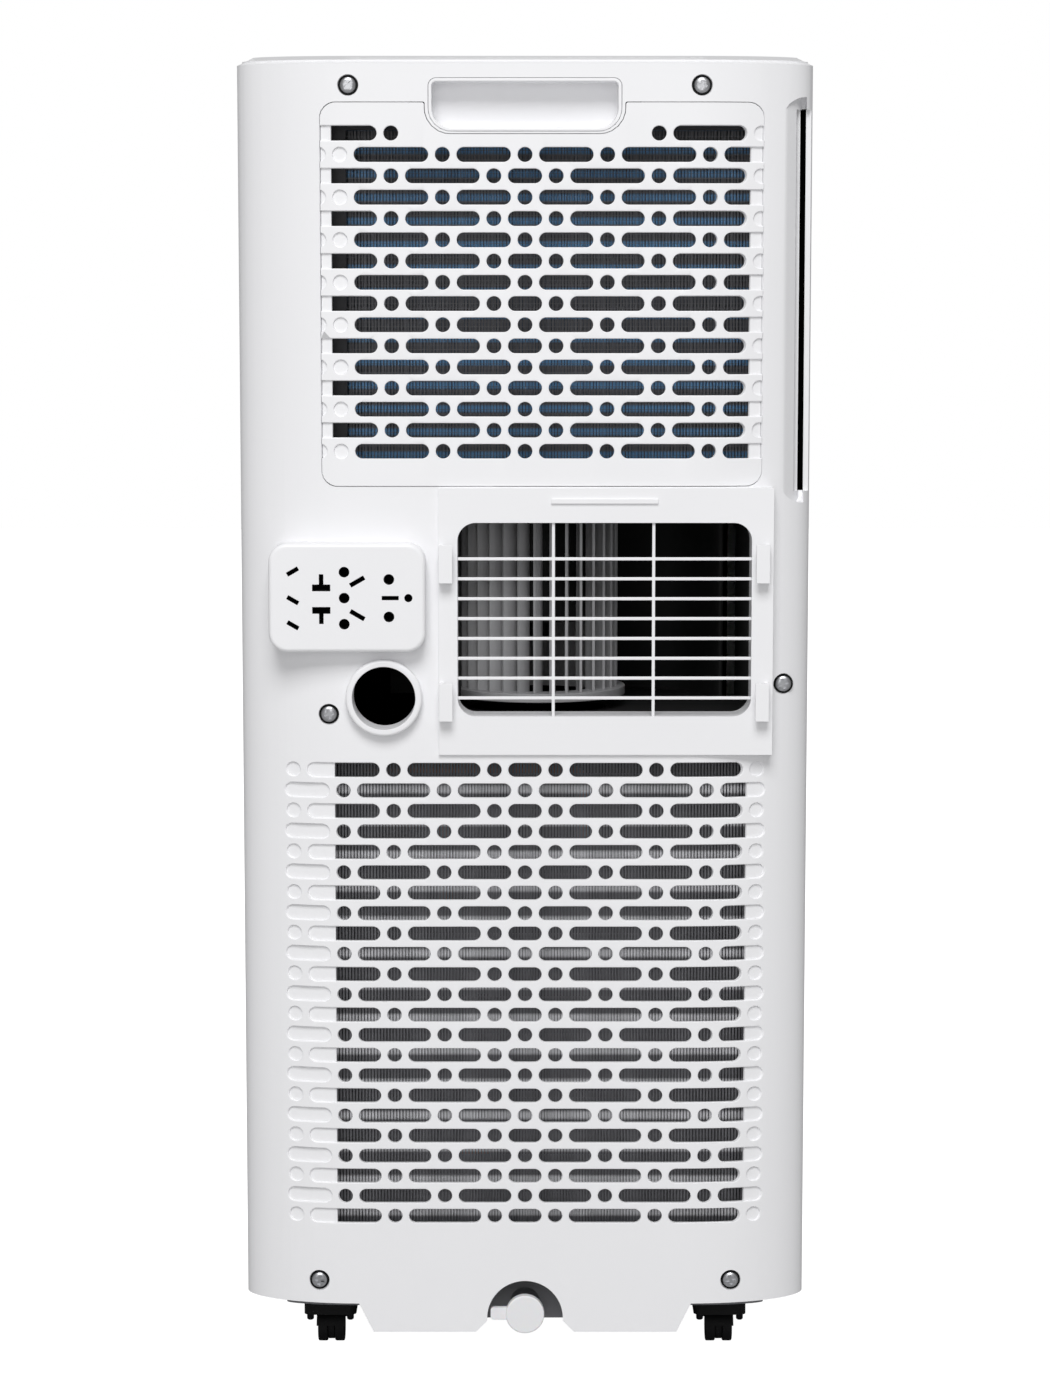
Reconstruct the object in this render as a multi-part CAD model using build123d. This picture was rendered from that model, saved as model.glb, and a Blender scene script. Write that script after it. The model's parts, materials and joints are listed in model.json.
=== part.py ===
"""A compact portable air conditioner, as an assembly of separate pieces.

Row frame, in millimetres: +Z up, +Y to the rear face with the intake and the exhaust, origin on the
floor at the middle of the whole box. One STEP file is written to parts/ for each piece.
"""
from build123d import *
import math
import os

# ---- overall sizes
WIDTH = 300.0
HEIGHT = 690.0
DEPTH = 303.0                # front face to rear face
PROUD = 12.0                 # how far the plug holder stands out of the rear face
WALL = 2.5                   # moulded case wall
SHELL_Z = 32.0               # lower edge of the case shells
TOP_BEVEL_IN = 8.4
TOP_BEVEL_UP = 4.2
SEAM_DEPTH = 70.0            # rear shell's length, from the rear face to the seam
REAR_CORNER_X = 63.0         # rear corners are quarter ellipses
REAR_CORNER_Y = 29.0
FRONT_CORNER = 42.0

# ---- clearances
SEAT_GAP = 0.2               # between pieces that drop into one another
SPLIT_GAP = 0.4              # visible joint line round a panel
SLIDE_GAP = 0.5              # round a piece that slides
BEARING_GAP = 0.06           # radial, shaft in its bore

# ---- places that many pieces share
Y_REAR = (DEPTH + PROUD) / 2 - PROUD
Y_FRONT = Y_REAR - DEPTH
Y_SEAM = Y_REAR - SEAM_DEPTH
SHELL_TOP = HEIGHT - TOP_BEVEL_UP
INSIDE_REAR = Y_REAR - WALL
INSIDE_FRONT = Y_FRONT + WALL
INSIDE_SIDE = WIDTH / 2 - WALL

# ---- grille pattern: obround slots between round holes, two alternating rows
HOLE = 7.6                   # height of a slot, diameter of a hole
ROW_PITCH = 10.9
SLOT_END = 7.3               # from a round hole's centre to the end of the next slot
BLIND_DEPTH = 1.2            # depth of the slots that don't go through
ROW_EVEN = (16.07, 69.05, 122.0)
ROW_ODD = (0.0, 42.56, 95.5)
ROW_ODD_END = 126.6
UPPER_ROWS = 16
UPPER_TOP_ROW = 650.4
LOWER_ROWS = 23
LOWER_TOP_ROW = 319.7
WINDOW_LEFT = 100.3          # open window behind both grilles, +X side
WINDOW_RIGHT = -117.3

# ---- upper intake grille panel and its ledge
PANEL_X0, PANEL_X1 = -123.6, 105.9
PANEL_Z0, PANEL_Z1 = 468.5, 666.4
PANEL_CORNER = 8.0
LEDGE = 5.0
LEDGE_THICK = 1.6

# ---- carrying handle, moulded cup in a tongue of the rear shell
HANDLE_W = 96.0
HANDLE_Z0, HANDLE_Z1 = 653.2, 676.6
HANDLE_DEPTH = 15.5
HANDLE_WALL = 1.8
HANDLE_RIM = 2.0             # thin rim behind the cup's mouth
HANDLE_CORNER = 10.0         # lower corners
HANDLE_TOP_CORNER = 2.2
TONGUE_MARGIN = 3.6
TONGUE_CORNER = 13.0

# ---- exhaust outlet
OUTLET_X0, OUTLET_X1 = -118.2, 35.2
OUTLET_Z0, OUTLET_Z1 = 348.4, 449.8
OUTLET_CORNER = 9.5
SLEEVE_WALL = 2.0
SLEEVE_DEPTH = 20.0
PLATE_X0, PLATE_X1 = -129.5, 45.1
PLATE_Z0, PLATE_Z1 = 328.0, 467.9
PLATE_PROUD = 2.0
HOOK_GAP = 5.0               # room for the hose adapter's flange
HOOK_THICK = 2.0
HOOK_W = 7.0
HOOK_H = 19.8
HOOK_ROWS = (418.8, 346.5)   # lower end of each pair of hooks
RIDGE = (-69.3, -13.6, 459.9, 462.3, 1.2)
GUARD_BAR = 1.6
GUARD_TOP = 430.9
GUARD_PITCH = 10.43
GUARD_BARS = 8
GUARD_POSTS = (-14.8, -67.1)

# ---- plug holder and cord port
HOLDER_X0, HOLDER_X1 = 51.6, 133.2
HOLDER_Z0, HOLDER_Z1 = 383.1, 439.8
HOLDER_CORNER = 10.0
HOLDER_EDGE = 2.2
HOLDER_CORE_INSET = 6.0
POCKET_DEPTH = 22.0
PORT_X, PORT_Z = 73.8, 358.3
PORT_BORE_R = 16.5
PORT_OUTER_R = 20.0
PORT_PROUD = 6.0
PORT_SLEEVE_R = 18.3
PORT_LENGTH = 20.0

# ---- case screws: X and Z of each
SCREWS = ((91.0, 674.8), (-91.0, 674.8), (102.8, 349.2), (-136.0, 364.2), (109.8, 44.4), (-109.8, 44.4))
SCREW_RECESS_R = 5.5
SCREW_RECESS = 1.7
SCREW_HEAD_R = 4.2
SCREW_HEAD = 2.2
SCREW_SHANK_R = 1.9
SCREW_LENGTH = 14.0
SCREW_POST_R = 5.0

# ---- side filter slot, on the -X side
FILTER_THICK = 5.0
FILTER_DEPTH = 21.0          # rear face to the filter's middle
FILTER_Z0, FILTER_Z1 = 465.6, 662.6
SLIT_HALF = 3.0
RECESS_Z0, RECESS_Z1 = 459.2, 669.5
RECESS_START, RECESS_END = 10.0, 26.5

# ---- drain niche in the rear edge
NICHE_R = 20.2
NICHE_Z = 24.2
NICHE_FOOT_R = 6.0
SKIRT_Z = 16.4
SKIRT_TOP_HALF = 88.7
SKIRT_LOW_HALF = 80.9
SPOUT_Z = 25.5
SPOUT_R = 8.0
SPOUT_BORE_R = 5.0
CAP_R = 10.3

# ---- base pan
PAN_INSET = 3.0
PAN_Z = 25.0                 # underside between the casters
PAN_FLOOR = 3.0
PAN_WALL = 2.5
PAN_STEP_IN = 21.0           # the underside steps up to the shells' edge this far in
PAN_TOP = 62.0
SUMP_Z = 16.6
NICHE_DEPTH = 26.0
NICHE_HALF = 23.5

# ---- casters
CASTER_X = 105.4
CASTER_IN = 37.0             # from the rear or front face to the caster's swivel
CASTER_PLATE = 28.2
CASTER_PLATE_Z = 19.0
CASTER_SCREW = 10.8          # corner screws, from the swivel along X and Y
CASTER_SCREW_HEAD = 3.4
WHEEL_R = 8.6
WHEEL_HALF = 7.2
WEB_HALF = 1.6
TRAIL = 3.0
STEM_R = 2.5
AXLE_R = 1.5
HOOD_HALF = 7.85

# ---- exhaust blower
EXHAUST_X, EXHAUST_Y = -7.0, 65.5
EXHAUST_Z0, EXHAUST_Z1 = 351.3, 451.0
EXHAUST_R = 47.5
EXHAUST_BLADE_R = 43.4
EXHAUST_BLADES = 31
SCROLL_Z = 345.0
DECK_Z = 458.0
DECK_THICK = 3.0

# ---- cold blower
COLD_Z = 566.0
COLD_R = 62.0
COLD_BLADES = 36
COLD_SCROLL_R = 88.0
COLD_Y0, COLD_Y1 = 4.0, 77.0
DUCT_HALF = 98.0
DUCT_Z0, DUCT_Z1 = 608.0, 662.0
DUCT_FRONT = -149.0

# ---- heat exchangers
TUBE_R = 3.5
TUBE_BORE_R = 3.0
FIN_THICK = 0.5
FIN_COUNT = 36
EVAP_Y = (91.0, 105.0)
EVAP_TUBES = 14
EVAP_PITCH = 12.7
EVAP_FIRST = 488.4
COND_Y = (106.5, 120.5)
COND_TUBES = 14
COND_PITCH = 17.4
COND_FIRST = 83.0
EVAP_X0, EVAP_X1 = -121.0, 104.0
COND_X0, COND_X1 = -118.0, 106.0
PIPE_X = 128.0               # the pipes climb past the deck in this plane
SUCTION_Y, LIQUID_Y = -10.0, 35.0

# ---- control panel and buttons
CONTROL_HALF = 72.0
CONTROL_Y0, CONTROL_Y1 = -140.0, -84.0
BUTTON_Y = -112.0
BUTTON_R = 5.5
BUTTON_TRAVEL = 1.2
BUTTONS = {"power": -60.0, "mode": -44.0, "speed": -28.0, "timer": 28.0, "down": 44.0, "up": 60.0}
PANEL_TOP = HEIGHT - 1.2
BUTTON_TOP = HEIGHT - 0.2
BOARD_Z = HEIGHT - 22.0

# ---- outlet flap
FLAP_HALF = 97.4
FLAP_Z0, FLAP_Z1 = 607.0, 664.4
FLAP_THICK = 2.2
FLAP_SWEEP = 3.6             # room below the flap for its lower edge to swing through
FLAP_AXIS_IN = 6.0           # front face to the hinge axis
FLAP_AXIS_Y, FLAP_AXIS_Z = Y_FRONT + FLAP_AXIS_IN, FLAP_Z0 + 2.0


# ======== shared shapes

def plan(inset):
    """The case seen from above, set in from the outside by inset."""
    half = WIDTH / 2 - inset
    back, front = Y_REAR - inset, Y_FRONT + inset
    rx, ry = REAR_CORNER_X - inset, REAR_CORNER_Y - inset
    rf = FRONT_CORNER - inset
    with BuildLine() as outline:
        Line((rx - half, back), (half - rx, back))
        EllipticalCenterArc((half - rx, back - ry), rx, ry, 0, arc_size=90)
        Line((half, back - ry), (half, front + rf))
        CenterArc((half - rf, front + rf), rf, 0, -90)
        Line((half - rf, front), (rf - half, front))
        CenterArc((rf - half, front + rf), rf, 270, -90)
        Line((-half, front + rf), (-half, back - ry))
        EllipticalCenterArc((rx - half, back - ry), rx, ry, 90, arc_size=90)
    return make_face(outline.line)


def plan_solid(inset, z0, z1):
    """Everything inside the case outline, between two heights."""
    return Pos(0, 0, z0) * extrude(plan(inset), amount=z1 - z0)


def plan_wall(outer, inner, z0, z1):
    """A wall that follows the case outline between two insets."""
    return Pos(0, 0, z0) * extrude(plan(outer) - plan(inner), amount=z1 - z0)


def surface_depth(x):
    """How far the case surface lies in front of the rear face, at x."""
    over = abs(x) - (WIDTH / 2 - REAR_CORNER_X)
    if over <= 0:
        return 0.0
    return REAR_CORNER_Y * (1 - math.sqrt(1 - (over / REAR_CORNER_X) ** 2))


def block(x0, x1, y0, y1, z0, z1):
    """A box between two corners."""
    return Pos((x0 + x1) / 2, (y0 + y1) / 2, (z0 + z1) / 2) * Box(x1 - x0, y1 - y0, z1 - z0)


def post(radius, x, y, z0, z1):
    """A cylinder along Z."""
    return Pos(x, y, (z0 + z1) / 2) * Cylinder(radius, z1 - z0)


def rod_x(radius, y, z, x0, x1):
    """A cylinder along X."""
    return Pos((x0 + x1) / 2, y, z) * Rot(0, 90, 0) * Cylinder(radius, x1 - x0)


def rod_y(radius, x, z, y0, y1):
    """A cylinder along Y."""
    return Pos(x, (y0 + y1) / 2, z) * Rot(90, 0, 0) * Cylinder(radius, y1 - y0)


def prism_y(sketch, y0, y1):
    """An outline drawn as X and Z, made solid from y0 to y1."""
    return extrude(Plane.XZ.offset(-y1) * sketch, amount=y1 - y0)


def prism_x(sketch, x0, x1):
    """An outline drawn as Y and Z, made solid from x0 to x1."""
    return extrude(Plane.YZ.offset(x0) * sketch, amount=x1 - x0)


def round_rect(x0, x1, z0, z1, radius):
    """A rounded rectangle between two corners."""
    return Pos((x0 + x1) / 2, (z0 + z1) / 2) * RectangleRounded(x1 - x0, z1 - z0, radius)


def grown(sketch_box, by):
    """The corners and radius of a rounded rectangle, larger all round."""
    x0, x1, z0, z1, radius = sketch_box
    return x0 - by, x1 + by, z0 - by, z1 + by, radius + by


def group(solids):
    """Several separate solids in one piece's file."""
    return Compound(children=[s for part in solids for s in part.solids()])


# ======== grille pattern

def row_shapes(even):
    """The (start, end) of every slot and hole of one row, along X. A hole is as long as it is high."""
    circles = ROW_EVEN if even else ROW_ODD
    shapes = [(x - HOLE / 2, x + HOLE / 2) for x in circles]
    shapes += [(a + SLOT_END, b - SLOT_END) for a, b in zip(circles, circles[1:])]
    if not even:
        shapes.append((circles[-1] + SLOT_END, ROW_ODD_END))
    shapes += [(-b, -a) for a, b in shapes if a > 0]
    if even:
        shapes.append((SLOT_END - circles[0], circles[0] - SLOT_END))
    return sorted(shapes)


def slot_outline(start, end, z):
    """One hole or slot, as X and Z."""
    shape = Circle(HOLE / 2) if end - start < HOLE + 0.01 else SlotOverall(end - start, HOLE)
    return Pos((start + end) / 2, z) * shape


def grille_cutters(count, top, clear_half):
    """What the slots take away: through the wall inside the window, and shallow outside it.

    The top row leaves out what reaches within clear_half of the middle, under the handle.
    """
    middle, width = (WINDOW_LEFT + WINDOW_RIGHT) / 2, WINDOW_LEFT - WINDOW_RIGHT
    skin = plan_wall(-1.0, BLIND_DEPTH, top - count * ROW_PITCH, top + ROW_PITCH)
    skin -= block(-WIDTH, WIDTH, Y_FRONT - 5, Y_SEAM, 0, HEIGHT)
    cutters = []
    for i in range(count):
        z = top - i * ROW_PITCH
        window = Pos(middle, z) * Rectangle(width, 2 * HOLE)
        for start, end in row_shapes(i % 2 == 0):
            if i == 0 and clear_half and start < clear_half and end > -clear_half:
                continue
            outline = slot_outline(start, end, z)
            if end > WINDOW_LEFT or start < WINDOW_RIGHT:
                cutters.append(skin & prism_y(outline, Y_REAR - REAR_CORNER_Y, Y_REAR + 1))
                outline = outline & window
            if start < WINDOW_LEFT and end > WINDOW_RIGHT:
                cutters.append(prism_y(outline, Y_REAR - 3 * WALL, Y_REAR + 1))
    return cutters


# ======== rear of the case

def panel_outline(by):
    return round_rect(*grown((PANEL_X0, PANEL_X1, PANEL_Z0, PANEL_Z1, PANEL_CORNER), by))


def tongue_outline(by):
    """The U of the rear shell that carries the handle cup, down into the panel's notch."""
    half = HANDLE_W / 2 + TONGUE_MARGIN
    low = HANDLE_Z0 - TONGUE_MARGIN + 0.7
    return round_rect(*grown((-half, half, low, PANEL_Z1 + 3 * TONGUE_CORNER, TONGUE_CORNER), by))


def handle_outline(by):
    """The cup's mouth: large lower corners and small upper ones."""
    half, middle = HANDLE_W / 2, (HANDLE_Z0 + HANDLE_Z1) / 2
    lower = round_rect(*grown((-half, half, HANDLE_Z0, HANDLE_Z1, HANDLE_CORNER), by))
    return lower + round_rect(*grown((-half, half, middle, HANDLE_Z1, HANDLE_TOP_CORNER), by))


def outlet_outline(by):
    return round_rect(*grown((OUTLET_X0, OUTLET_X1, OUTLET_Z0, OUTLET_Z1, OUTLET_CORNER), by))


def holder_outline(by):
    return round_rect(*grown((HOLDER_X0, HOLDER_X1, HOLDER_Z0, HOLDER_Z1, HOLDER_CORNER), by))


def screw_recesses():
    """Counterbores and shank holes of the case screws, in the rear shell."""
    cutters = []
    for x, z in SCREWS:
        face = Y_REAR - surface_depth(x)
        cutters.append(rod_y(SCREW_RECESS_R, x, z, face - SCREW_RECESS, Y_REAR + 1))
        cutters.append(rod_y(SCREW_SHANK_R + 0.3, x, z, face - 12, Y_REAR + 1))
    return cutters


def recess_plan(grow):
    """The finger recess of the filter slot seen from above: a ramp that deepens away from the rear."""
    half = WIDTH / 2
    points = (
        (-(half - 15.4) + grow, Y_REAR - RECESS_START + grow),
        (-(half - 9.0) + grow, Y_REAR - 18.0),
        (-(half - 6.0) + grow, Y_REAR - 24.0),
        (-(half - 6.0) + grow, Y_REAR - RECESS_END - grow),
        (-(half + 3.0), Y_REAR - RECESS_END - grow),
        (-(half + 3.0), Y_REAR - RECESS_START + grow),
    )
    return make_face(Polyline(*points, close=True))


def recess_solid(grow):
    """The finger recess as a solid with round ends, larger all round by grow."""
    tall = extrude(Pos(0, 0, RECESS_Z0 - grow) * recess_plan(grow), amount=RECESS_Z1 - RECESS_Z0 + 2 * grow)
    ends = round_rect(Y_REAR - RECESS_END - grow, Y_REAR - RECESS_START + grow, RECESS_Z0 - grow,
                      RECESS_Z1 + grow, 8.0)
    return tall & prism_x(ends, -WIDTH / 2 - 5, -WIDTH / 2 + 40)


def filter_slit():
    middle = Y_REAR - FILTER_DEPTH
    return block(-WIDTH / 2 - 2, -WIDTH / 2 + 16, middle - SLIT_HALF, middle + SLIT_HALF,
                 FILTER_Z0 - SLIDE_GAP, FILTER_Z1 + SLIDE_GAP)


def skirt():
    """The trapezoid below the rear face, between the casters."""
    corners = ((-SKIRT_TOP_HALF, SHELL_Z), (-SKIRT_LOW_HALF, SKIRT_Z), (SKIRT_LOW_HALF, SKIRT_Z),
               (SKIRT_TOP_HALF, SHELL_Z), (SKIRT_TOP_HALF, SHELL_Z + 4), (-SKIRT_TOP_HALF, SHELL_Z + 4))
    shape = prism_y(make_face(Polyline(*corners, close=True)), INSIDE_REAR - 1, Y_REAR)
    return shape & plan_wall(0, WALL, 0, SHELL_Z + 5)


def niche_cutter(radius, y0, y1):
    """The arch over the drain, open at the bottom, with its feet rounded outwards."""
    low = SKIRT_Z - 2
    arch = Pos(0, NICHE_Z) * Circle(radius) + Pos(0, (NICHE_Z + low) / 2) * Rectangle(2 * radius, NICHE_Z - low)
    reach = radius + NICHE_FOOT_R
    foot_z = SKIRT_Z + NICHE_FOOT_R
    feet = Pos(0, (low + foot_z) / 2) * Rectangle(2 * reach, foot_z - low)
    feet -= Pos(reach, foot_z) * Circle(NICHE_FOOT_R)
    feet -= Pos(-reach, foot_z) * Circle(NICHE_FOOT_R)
    return prism_y(arch + feet, y0, y1)


def rear_shell():
    """Rear half of the case: lower intake slots, and openings for all that sits in the rear face."""
    back = block(-WIDTH, WIDTH, Y_SEAM, Y_REAR + 50, 0, HEIGHT)
    shell = plan_wall(0, WALL, SHELL_Z, SHELL_TOP) & back
    shell += skirt()
    ledge = prism_y(panel_outline(LEDGE) - panel_outline(-LEDGE), Y_REAR - REAR_CORNER_Y, Y_REAR)
    shell += ledge & plan_wall(WALL - 0.1, WALL + LEDGE_THICK, PANEL_Z0 - 10, PANEL_Z1 + 10)
    shell += recess_solid(WALL) & plan_solid(0.5, PANEL_Z0 - 20, PANEL_Z1 + 20)
    shell -= prism_y(panel_outline(0) - tongue_outline(0), INSIDE_REAR - 30, Y_REAR + 1) & plan_wall(
        -2, WALL, PANEL_Z0 - 10, PANEL_Z1 + 10)
    shell -= prism_y(handle_outline(HANDLE_WALL + SEAT_GAP), INSIDE_REAR - 5, Y_REAR + 1)
    shell -= prism_y(handle_outline(HANDLE_WALL + HANDLE_RIM + SEAT_GAP), INSIDE_REAR - 5, INSIDE_REAR)
    shell -= prism_y(outlet_outline(SLEEVE_WALL + SEAT_GAP), INSIDE_REAR - 20, Y_REAR + 1)
    shell -= prism_y(holder_outline(SEAT_GAP - HOLDER_CORE_INSET), INSIDE_REAR - 12, Y_REAR + 1)
    shell -= rod_y(PORT_SLEEVE_R + SEAT_GAP, PORT_X, PORT_Z, INSIDE_REAR - 5, Y_REAR + 1)
    shell -= recess_solid(0)
    shell -= filter_slit()
    shell -= niche_cutter(NICHE_R, INSIDE_REAR - 5, Y_REAR + 1)
    shell -= screw_recesses()
    return shell - grille_cutters(LOWER_ROWS, LOWER_TOP_ROW, 0)


def intake_grille():
    """Upper intake grille: a slotted panel that clips into the rear shell over the filter."""
    outline = panel_outline(-SPLIT_GAP) - tongue_outline(SPLIT_GAP)
    panel = prism_y(outline, Y_REAR - REAR_CORNER_Y, Y_REAR + 1)
    panel = panel & plan_wall(0, WALL, PANEL_Z0 - 10, PANEL_Z1 + 10)
    return panel - grille_cutters(UPPER_ROWS, UPPER_TOP_ROW, HANDLE_W / 2)


def handle_cup():
    """Pocket for the fingers, with a thin rim behind its mouth."""
    cup = prism_y(handle_outline(HANDLE_WALL), Y_REAR - HANDLE_DEPTH - HANDLE_WALL, Y_REAR)
    rim = prism_y(handle_outline(HANDLE_WALL + HANDLE_RIM), INSIDE_REAR - 1.2, INSIDE_REAR)
    return cup + rim - prism_y(handle_outline(0), Y_REAR - HANDLE_DEPTH, Y_REAR + 1)


def hooks():
    """Four hooks that hold the hose adapter's flange, two each side of the outlet."""
    face = Y_REAR + PLATE_PROUD
    solids = []
    for z in HOOK_ROWS:
        for outer, turn in ((PLATE_X1 - 0.3, -1), (PLATE_X0 + 2.3, 1)):
            edge = outer + turn * HOOK_W
            leg = outer + turn * HOOK_THICK
            solids.append(block(min(outer, leg), max(outer, leg), face - 1, face + HOOK_GAP + HOOK_THICK,
                                z, z + HOOK_H))
            solids.append(block(min(outer, edge), max(outer, edge), face + HOOK_GAP,
                                face + HOOK_GAP + HOOK_THICK, z, z + HOOK_H))
    return solids


def exhaust_frame():
    """Raised plate round the exhaust outlet, with its sleeve through the shell and the adapter hooks."""
    plate = block(PLATE_X0, PLATE_X1, Y_REAR - 14, Y_REAR + PLATE_PROUD, PLATE_Z0, PLATE_Z1)
    plate -= plan_solid(0, PLATE_Z0 - 5, PLATE_Z1 + 5)
    sleeve = prism_y(outlet_outline(SLEEVE_WALL), Y_REAR - SLEEVE_DEPTH, Y_REAR + PLATE_PROUD)
    x0, x1, z0, z1, up = RIDGE
    ridge = block(x0, x1, Y_REAR, Y_REAR + PLATE_PROUD + up, z0, z1)
    frame = plate + sleeve + ridge + hooks()
    return frame - prism_y(outlet_outline(0), Y_REAR - SLEEVE_DEPTH - 1, Y_REAR + PLATE_PROUD + 1)


def exhaust_guard():
    """Moulded finger guard across the outlet."""
    y0, y1 = Y_REAR - 1.2, Y_REAR - 1.2 + GUARD_BAR
    half = GUARD_BAR / 2
    bars = []
    for i in range(GUARD_BARS):
        z = GUARD_TOP - i * GUARD_PITCH
        bars.append(block(OUTLET_X0 - 5, OUTLET_X1 + 5, y0, y1, z - half, z + half))
    for x in GUARD_POSTS:
        bars.append(block(x - half, x + half, y0, y1, OUTLET_Z0 - 5, OUTLET_Z1 + 5))
    grid = bars[0]
    grid = grid + bars[1:]
    return grid & prism_y(outlet_outline(0), y0 - 1, y1 + 1)


def pocket_outlines():
    """The pin pockets of the plug holder: round pins and flat blades of several plug types."""
    mid = (HOLDER_Z0 + HOLDER_Z1) / 2
    far, near = 120.5, 87.0
    shapes = []
    for dz, turn in ((13.8, 30), (-1.1, -30), (-14.2, -30)):
        shapes.append(Pos(far, mid + dz) * Rot(0, 0, -turn) * Rectangle(6.6, 2.3))
    for dz, up in ((8.1, 1), (-9.2, -1)):
        bar = Pos(105.7, mid + dz - up * 2.8) * Rectangle(9.4, 3.5)
        stem = Pos(105.7, mid + dz) * Rectangle(2.3, 8.6)
        shapes.append(bar + stem)
    for dz in (13.5, 0.0, -13.6):
        shapes.append(Pos(93.8, mid + dz) * Circle(2.75))
    for dz, turn in ((8.6, 30), (-8.9, -30)):
        shapes.append(Pos(near, mid + dz) * Rot(0, 0, -turn) * Rectangle(8.4, 2.4))
    for dz in (9.7, -9.8):
        shapes.append(Pos(70.6, mid + dz) * Circle(2.75))
    shapes.append(Pos(69.9, mid) * Rectangle(8.8, 2.2))
    shapes.append(Pos(60.5, mid) * Circle(2.1))
    return shapes


def plug_holder():
    """Block with pin pockets where the supply plug is parked."""
    face = Y_REAR + PROUD
    front = prism_y(holder_outline(0), Y_REAR - 14, face)
    front = fillet(front.faces().sort_by(Axis.Y)[-1].edges(), HOLDER_EDGE)
    front -= plan_solid(0, HOLDER_Z0 - 10, HOLDER_Z1 + 10)
    core = prism_y(holder_outline(-HOLDER_CORE_INSET), face - POCKET_DEPTH - 2.0, Y_REAR + 2)
    pockets = [prism_y(shape, face - POCKET_DEPTH, face + 1) for shape in pocket_outlines()]
    return front + core - pockets


def cord_port():
    """Round collar of the cord opening."""
    face = Y_REAR + PORT_PROUD
    collar = rod_y(PORT_OUTER_R, PORT_X, PORT_Z, Y_REAR, face)
    collar = fillet(collar.faces().sort_by(Axis.Y)[-1].edges(), 1.5)
    sleeve = rod_y(PORT_SLEEVE_R, PORT_X, PORT_Z, face - PORT_LENGTH, Y_REAR + 1)
    return collar + sleeve - rod_y(PORT_BORE_R, PORT_X, PORT_Z, face - PORT_LENGTH - 1, face + 1)


def case_screws():
    """Pan-head cross-recess screws that hold the rear shell."""
    solids = []
    for x, z in SCREWS:
        seat = Y_REAR - surface_depth(x) - SCREW_RECESS
        head = rod_y(SCREW_HEAD_R, x, z, seat, seat + SCREW_HEAD)
        head = fillet(head.faces().sort_by(Axis.Y)[-1].edges(), 1.3)
        shank = rod_y(SCREW_SHANK_R, x, z, seat - SCREW_LENGTH, seat)
        cross = [block(x - a, x + a, seat + 0.8, seat + 4, z - b, z + b) for a, b in ((2.2, 0.5), (0.5, 2.2))]
        solids.append(head + shank - cross)
    return group(solids)


# ======== front and top of the case

def front_shell():
    """Front half of the case, with the cold air outlet and a lip inside the seam."""
    front = block(-WIDTH, WIDTH, Y_FRONT - 50, Y_SEAM, 0, HEIGHT)
    shell = plan_wall(0, WALL, SHELL_Z, SHELL_TOP) & front
    lip_zone = block(-WIDTH, WIDTH, Y_SEAM - 8, Y_SEAM + 8, 0, HEIGHT)
    lip = plan_wall(WALL + SEAT_GAP, WALL + SEAT_GAP + 1.6, SHELL_Z + 40, SHELL_TOP - 14) & lip_zone
    tie_zone = block(-WIDTH, WIDTH, Y_SEAM - 8, Y_SEAM - 4, 0, HEIGHT)
    tie = plan_wall(WALL - 0.5, WALL + SEAT_GAP + 1.6, SHELL_Z + 40, SHELL_TOP - 14) & tie_zone
    shell = shell + lip + tie
    return shell - block(-DUCT_HALF - 0.6, DUCT_HALF + 0.6, Y_FRONT - 5, INSIDE_FRONT + 5,
                         FLAP_Z0 - FLAP_SWEEP, FLAP_Z1 + 0.6)


def top_cover():
    """Bevelled lid with a locating rim, posts for the two top screws and a well for the panel."""
    lid = plan_solid(0, SHELL_TOP, HEIGHT)
    lid = chamfer(lid.faces().sort_by(Axis.Z)[-1].edges(), TOP_BEVEL_UP - 0.01, TOP_BEVEL_IN)
    lid -= plan_solid(4.0, SHELL_TOP - 1, SHELL_TOP + 1.2) & block(-WIDTH, WIDTH, -300, 300, 0, SHELL_TOP + 1.2)
    rim = plan_wall(WALL + SEAT_GAP, WALL + SEAT_GAP + 1.8, SHELL_TOP - 10, SHELL_TOP + 2)
    rim -= block(-HANDLE_W / 2 - 6, HANDLE_W / 2 + 6, 0, Y_REAR, 0, SHELL_TOP - 0.2)
    lid = lid + rim
    for x, z in SCREWS[:2]:
        lid += block(x - 6, x + 6, INSIDE_REAR - SEAT_GAP - 16, INSIDE_REAR - SEAT_GAP, z - 3, SHELL_TOP + 2)
        lid -= rod_y(SCREW_SHANK_R + BEARING_GAP, x, z, INSIDE_REAR - 30, Y_REAR)
    well = block(-CONTROL_HALF - 3, CONTROL_HALF + 3, CONTROL_Y0 - 3, CONTROL_Y1 + 3, SHELL_TOP - 2, SHELL_TOP + 2)
    lid += well
    return lid - block(-CONTROL_HALF, CONTROL_HALF, CONTROL_Y0, CONTROL_Y1, 600, HEIGHT + 5)


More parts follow.
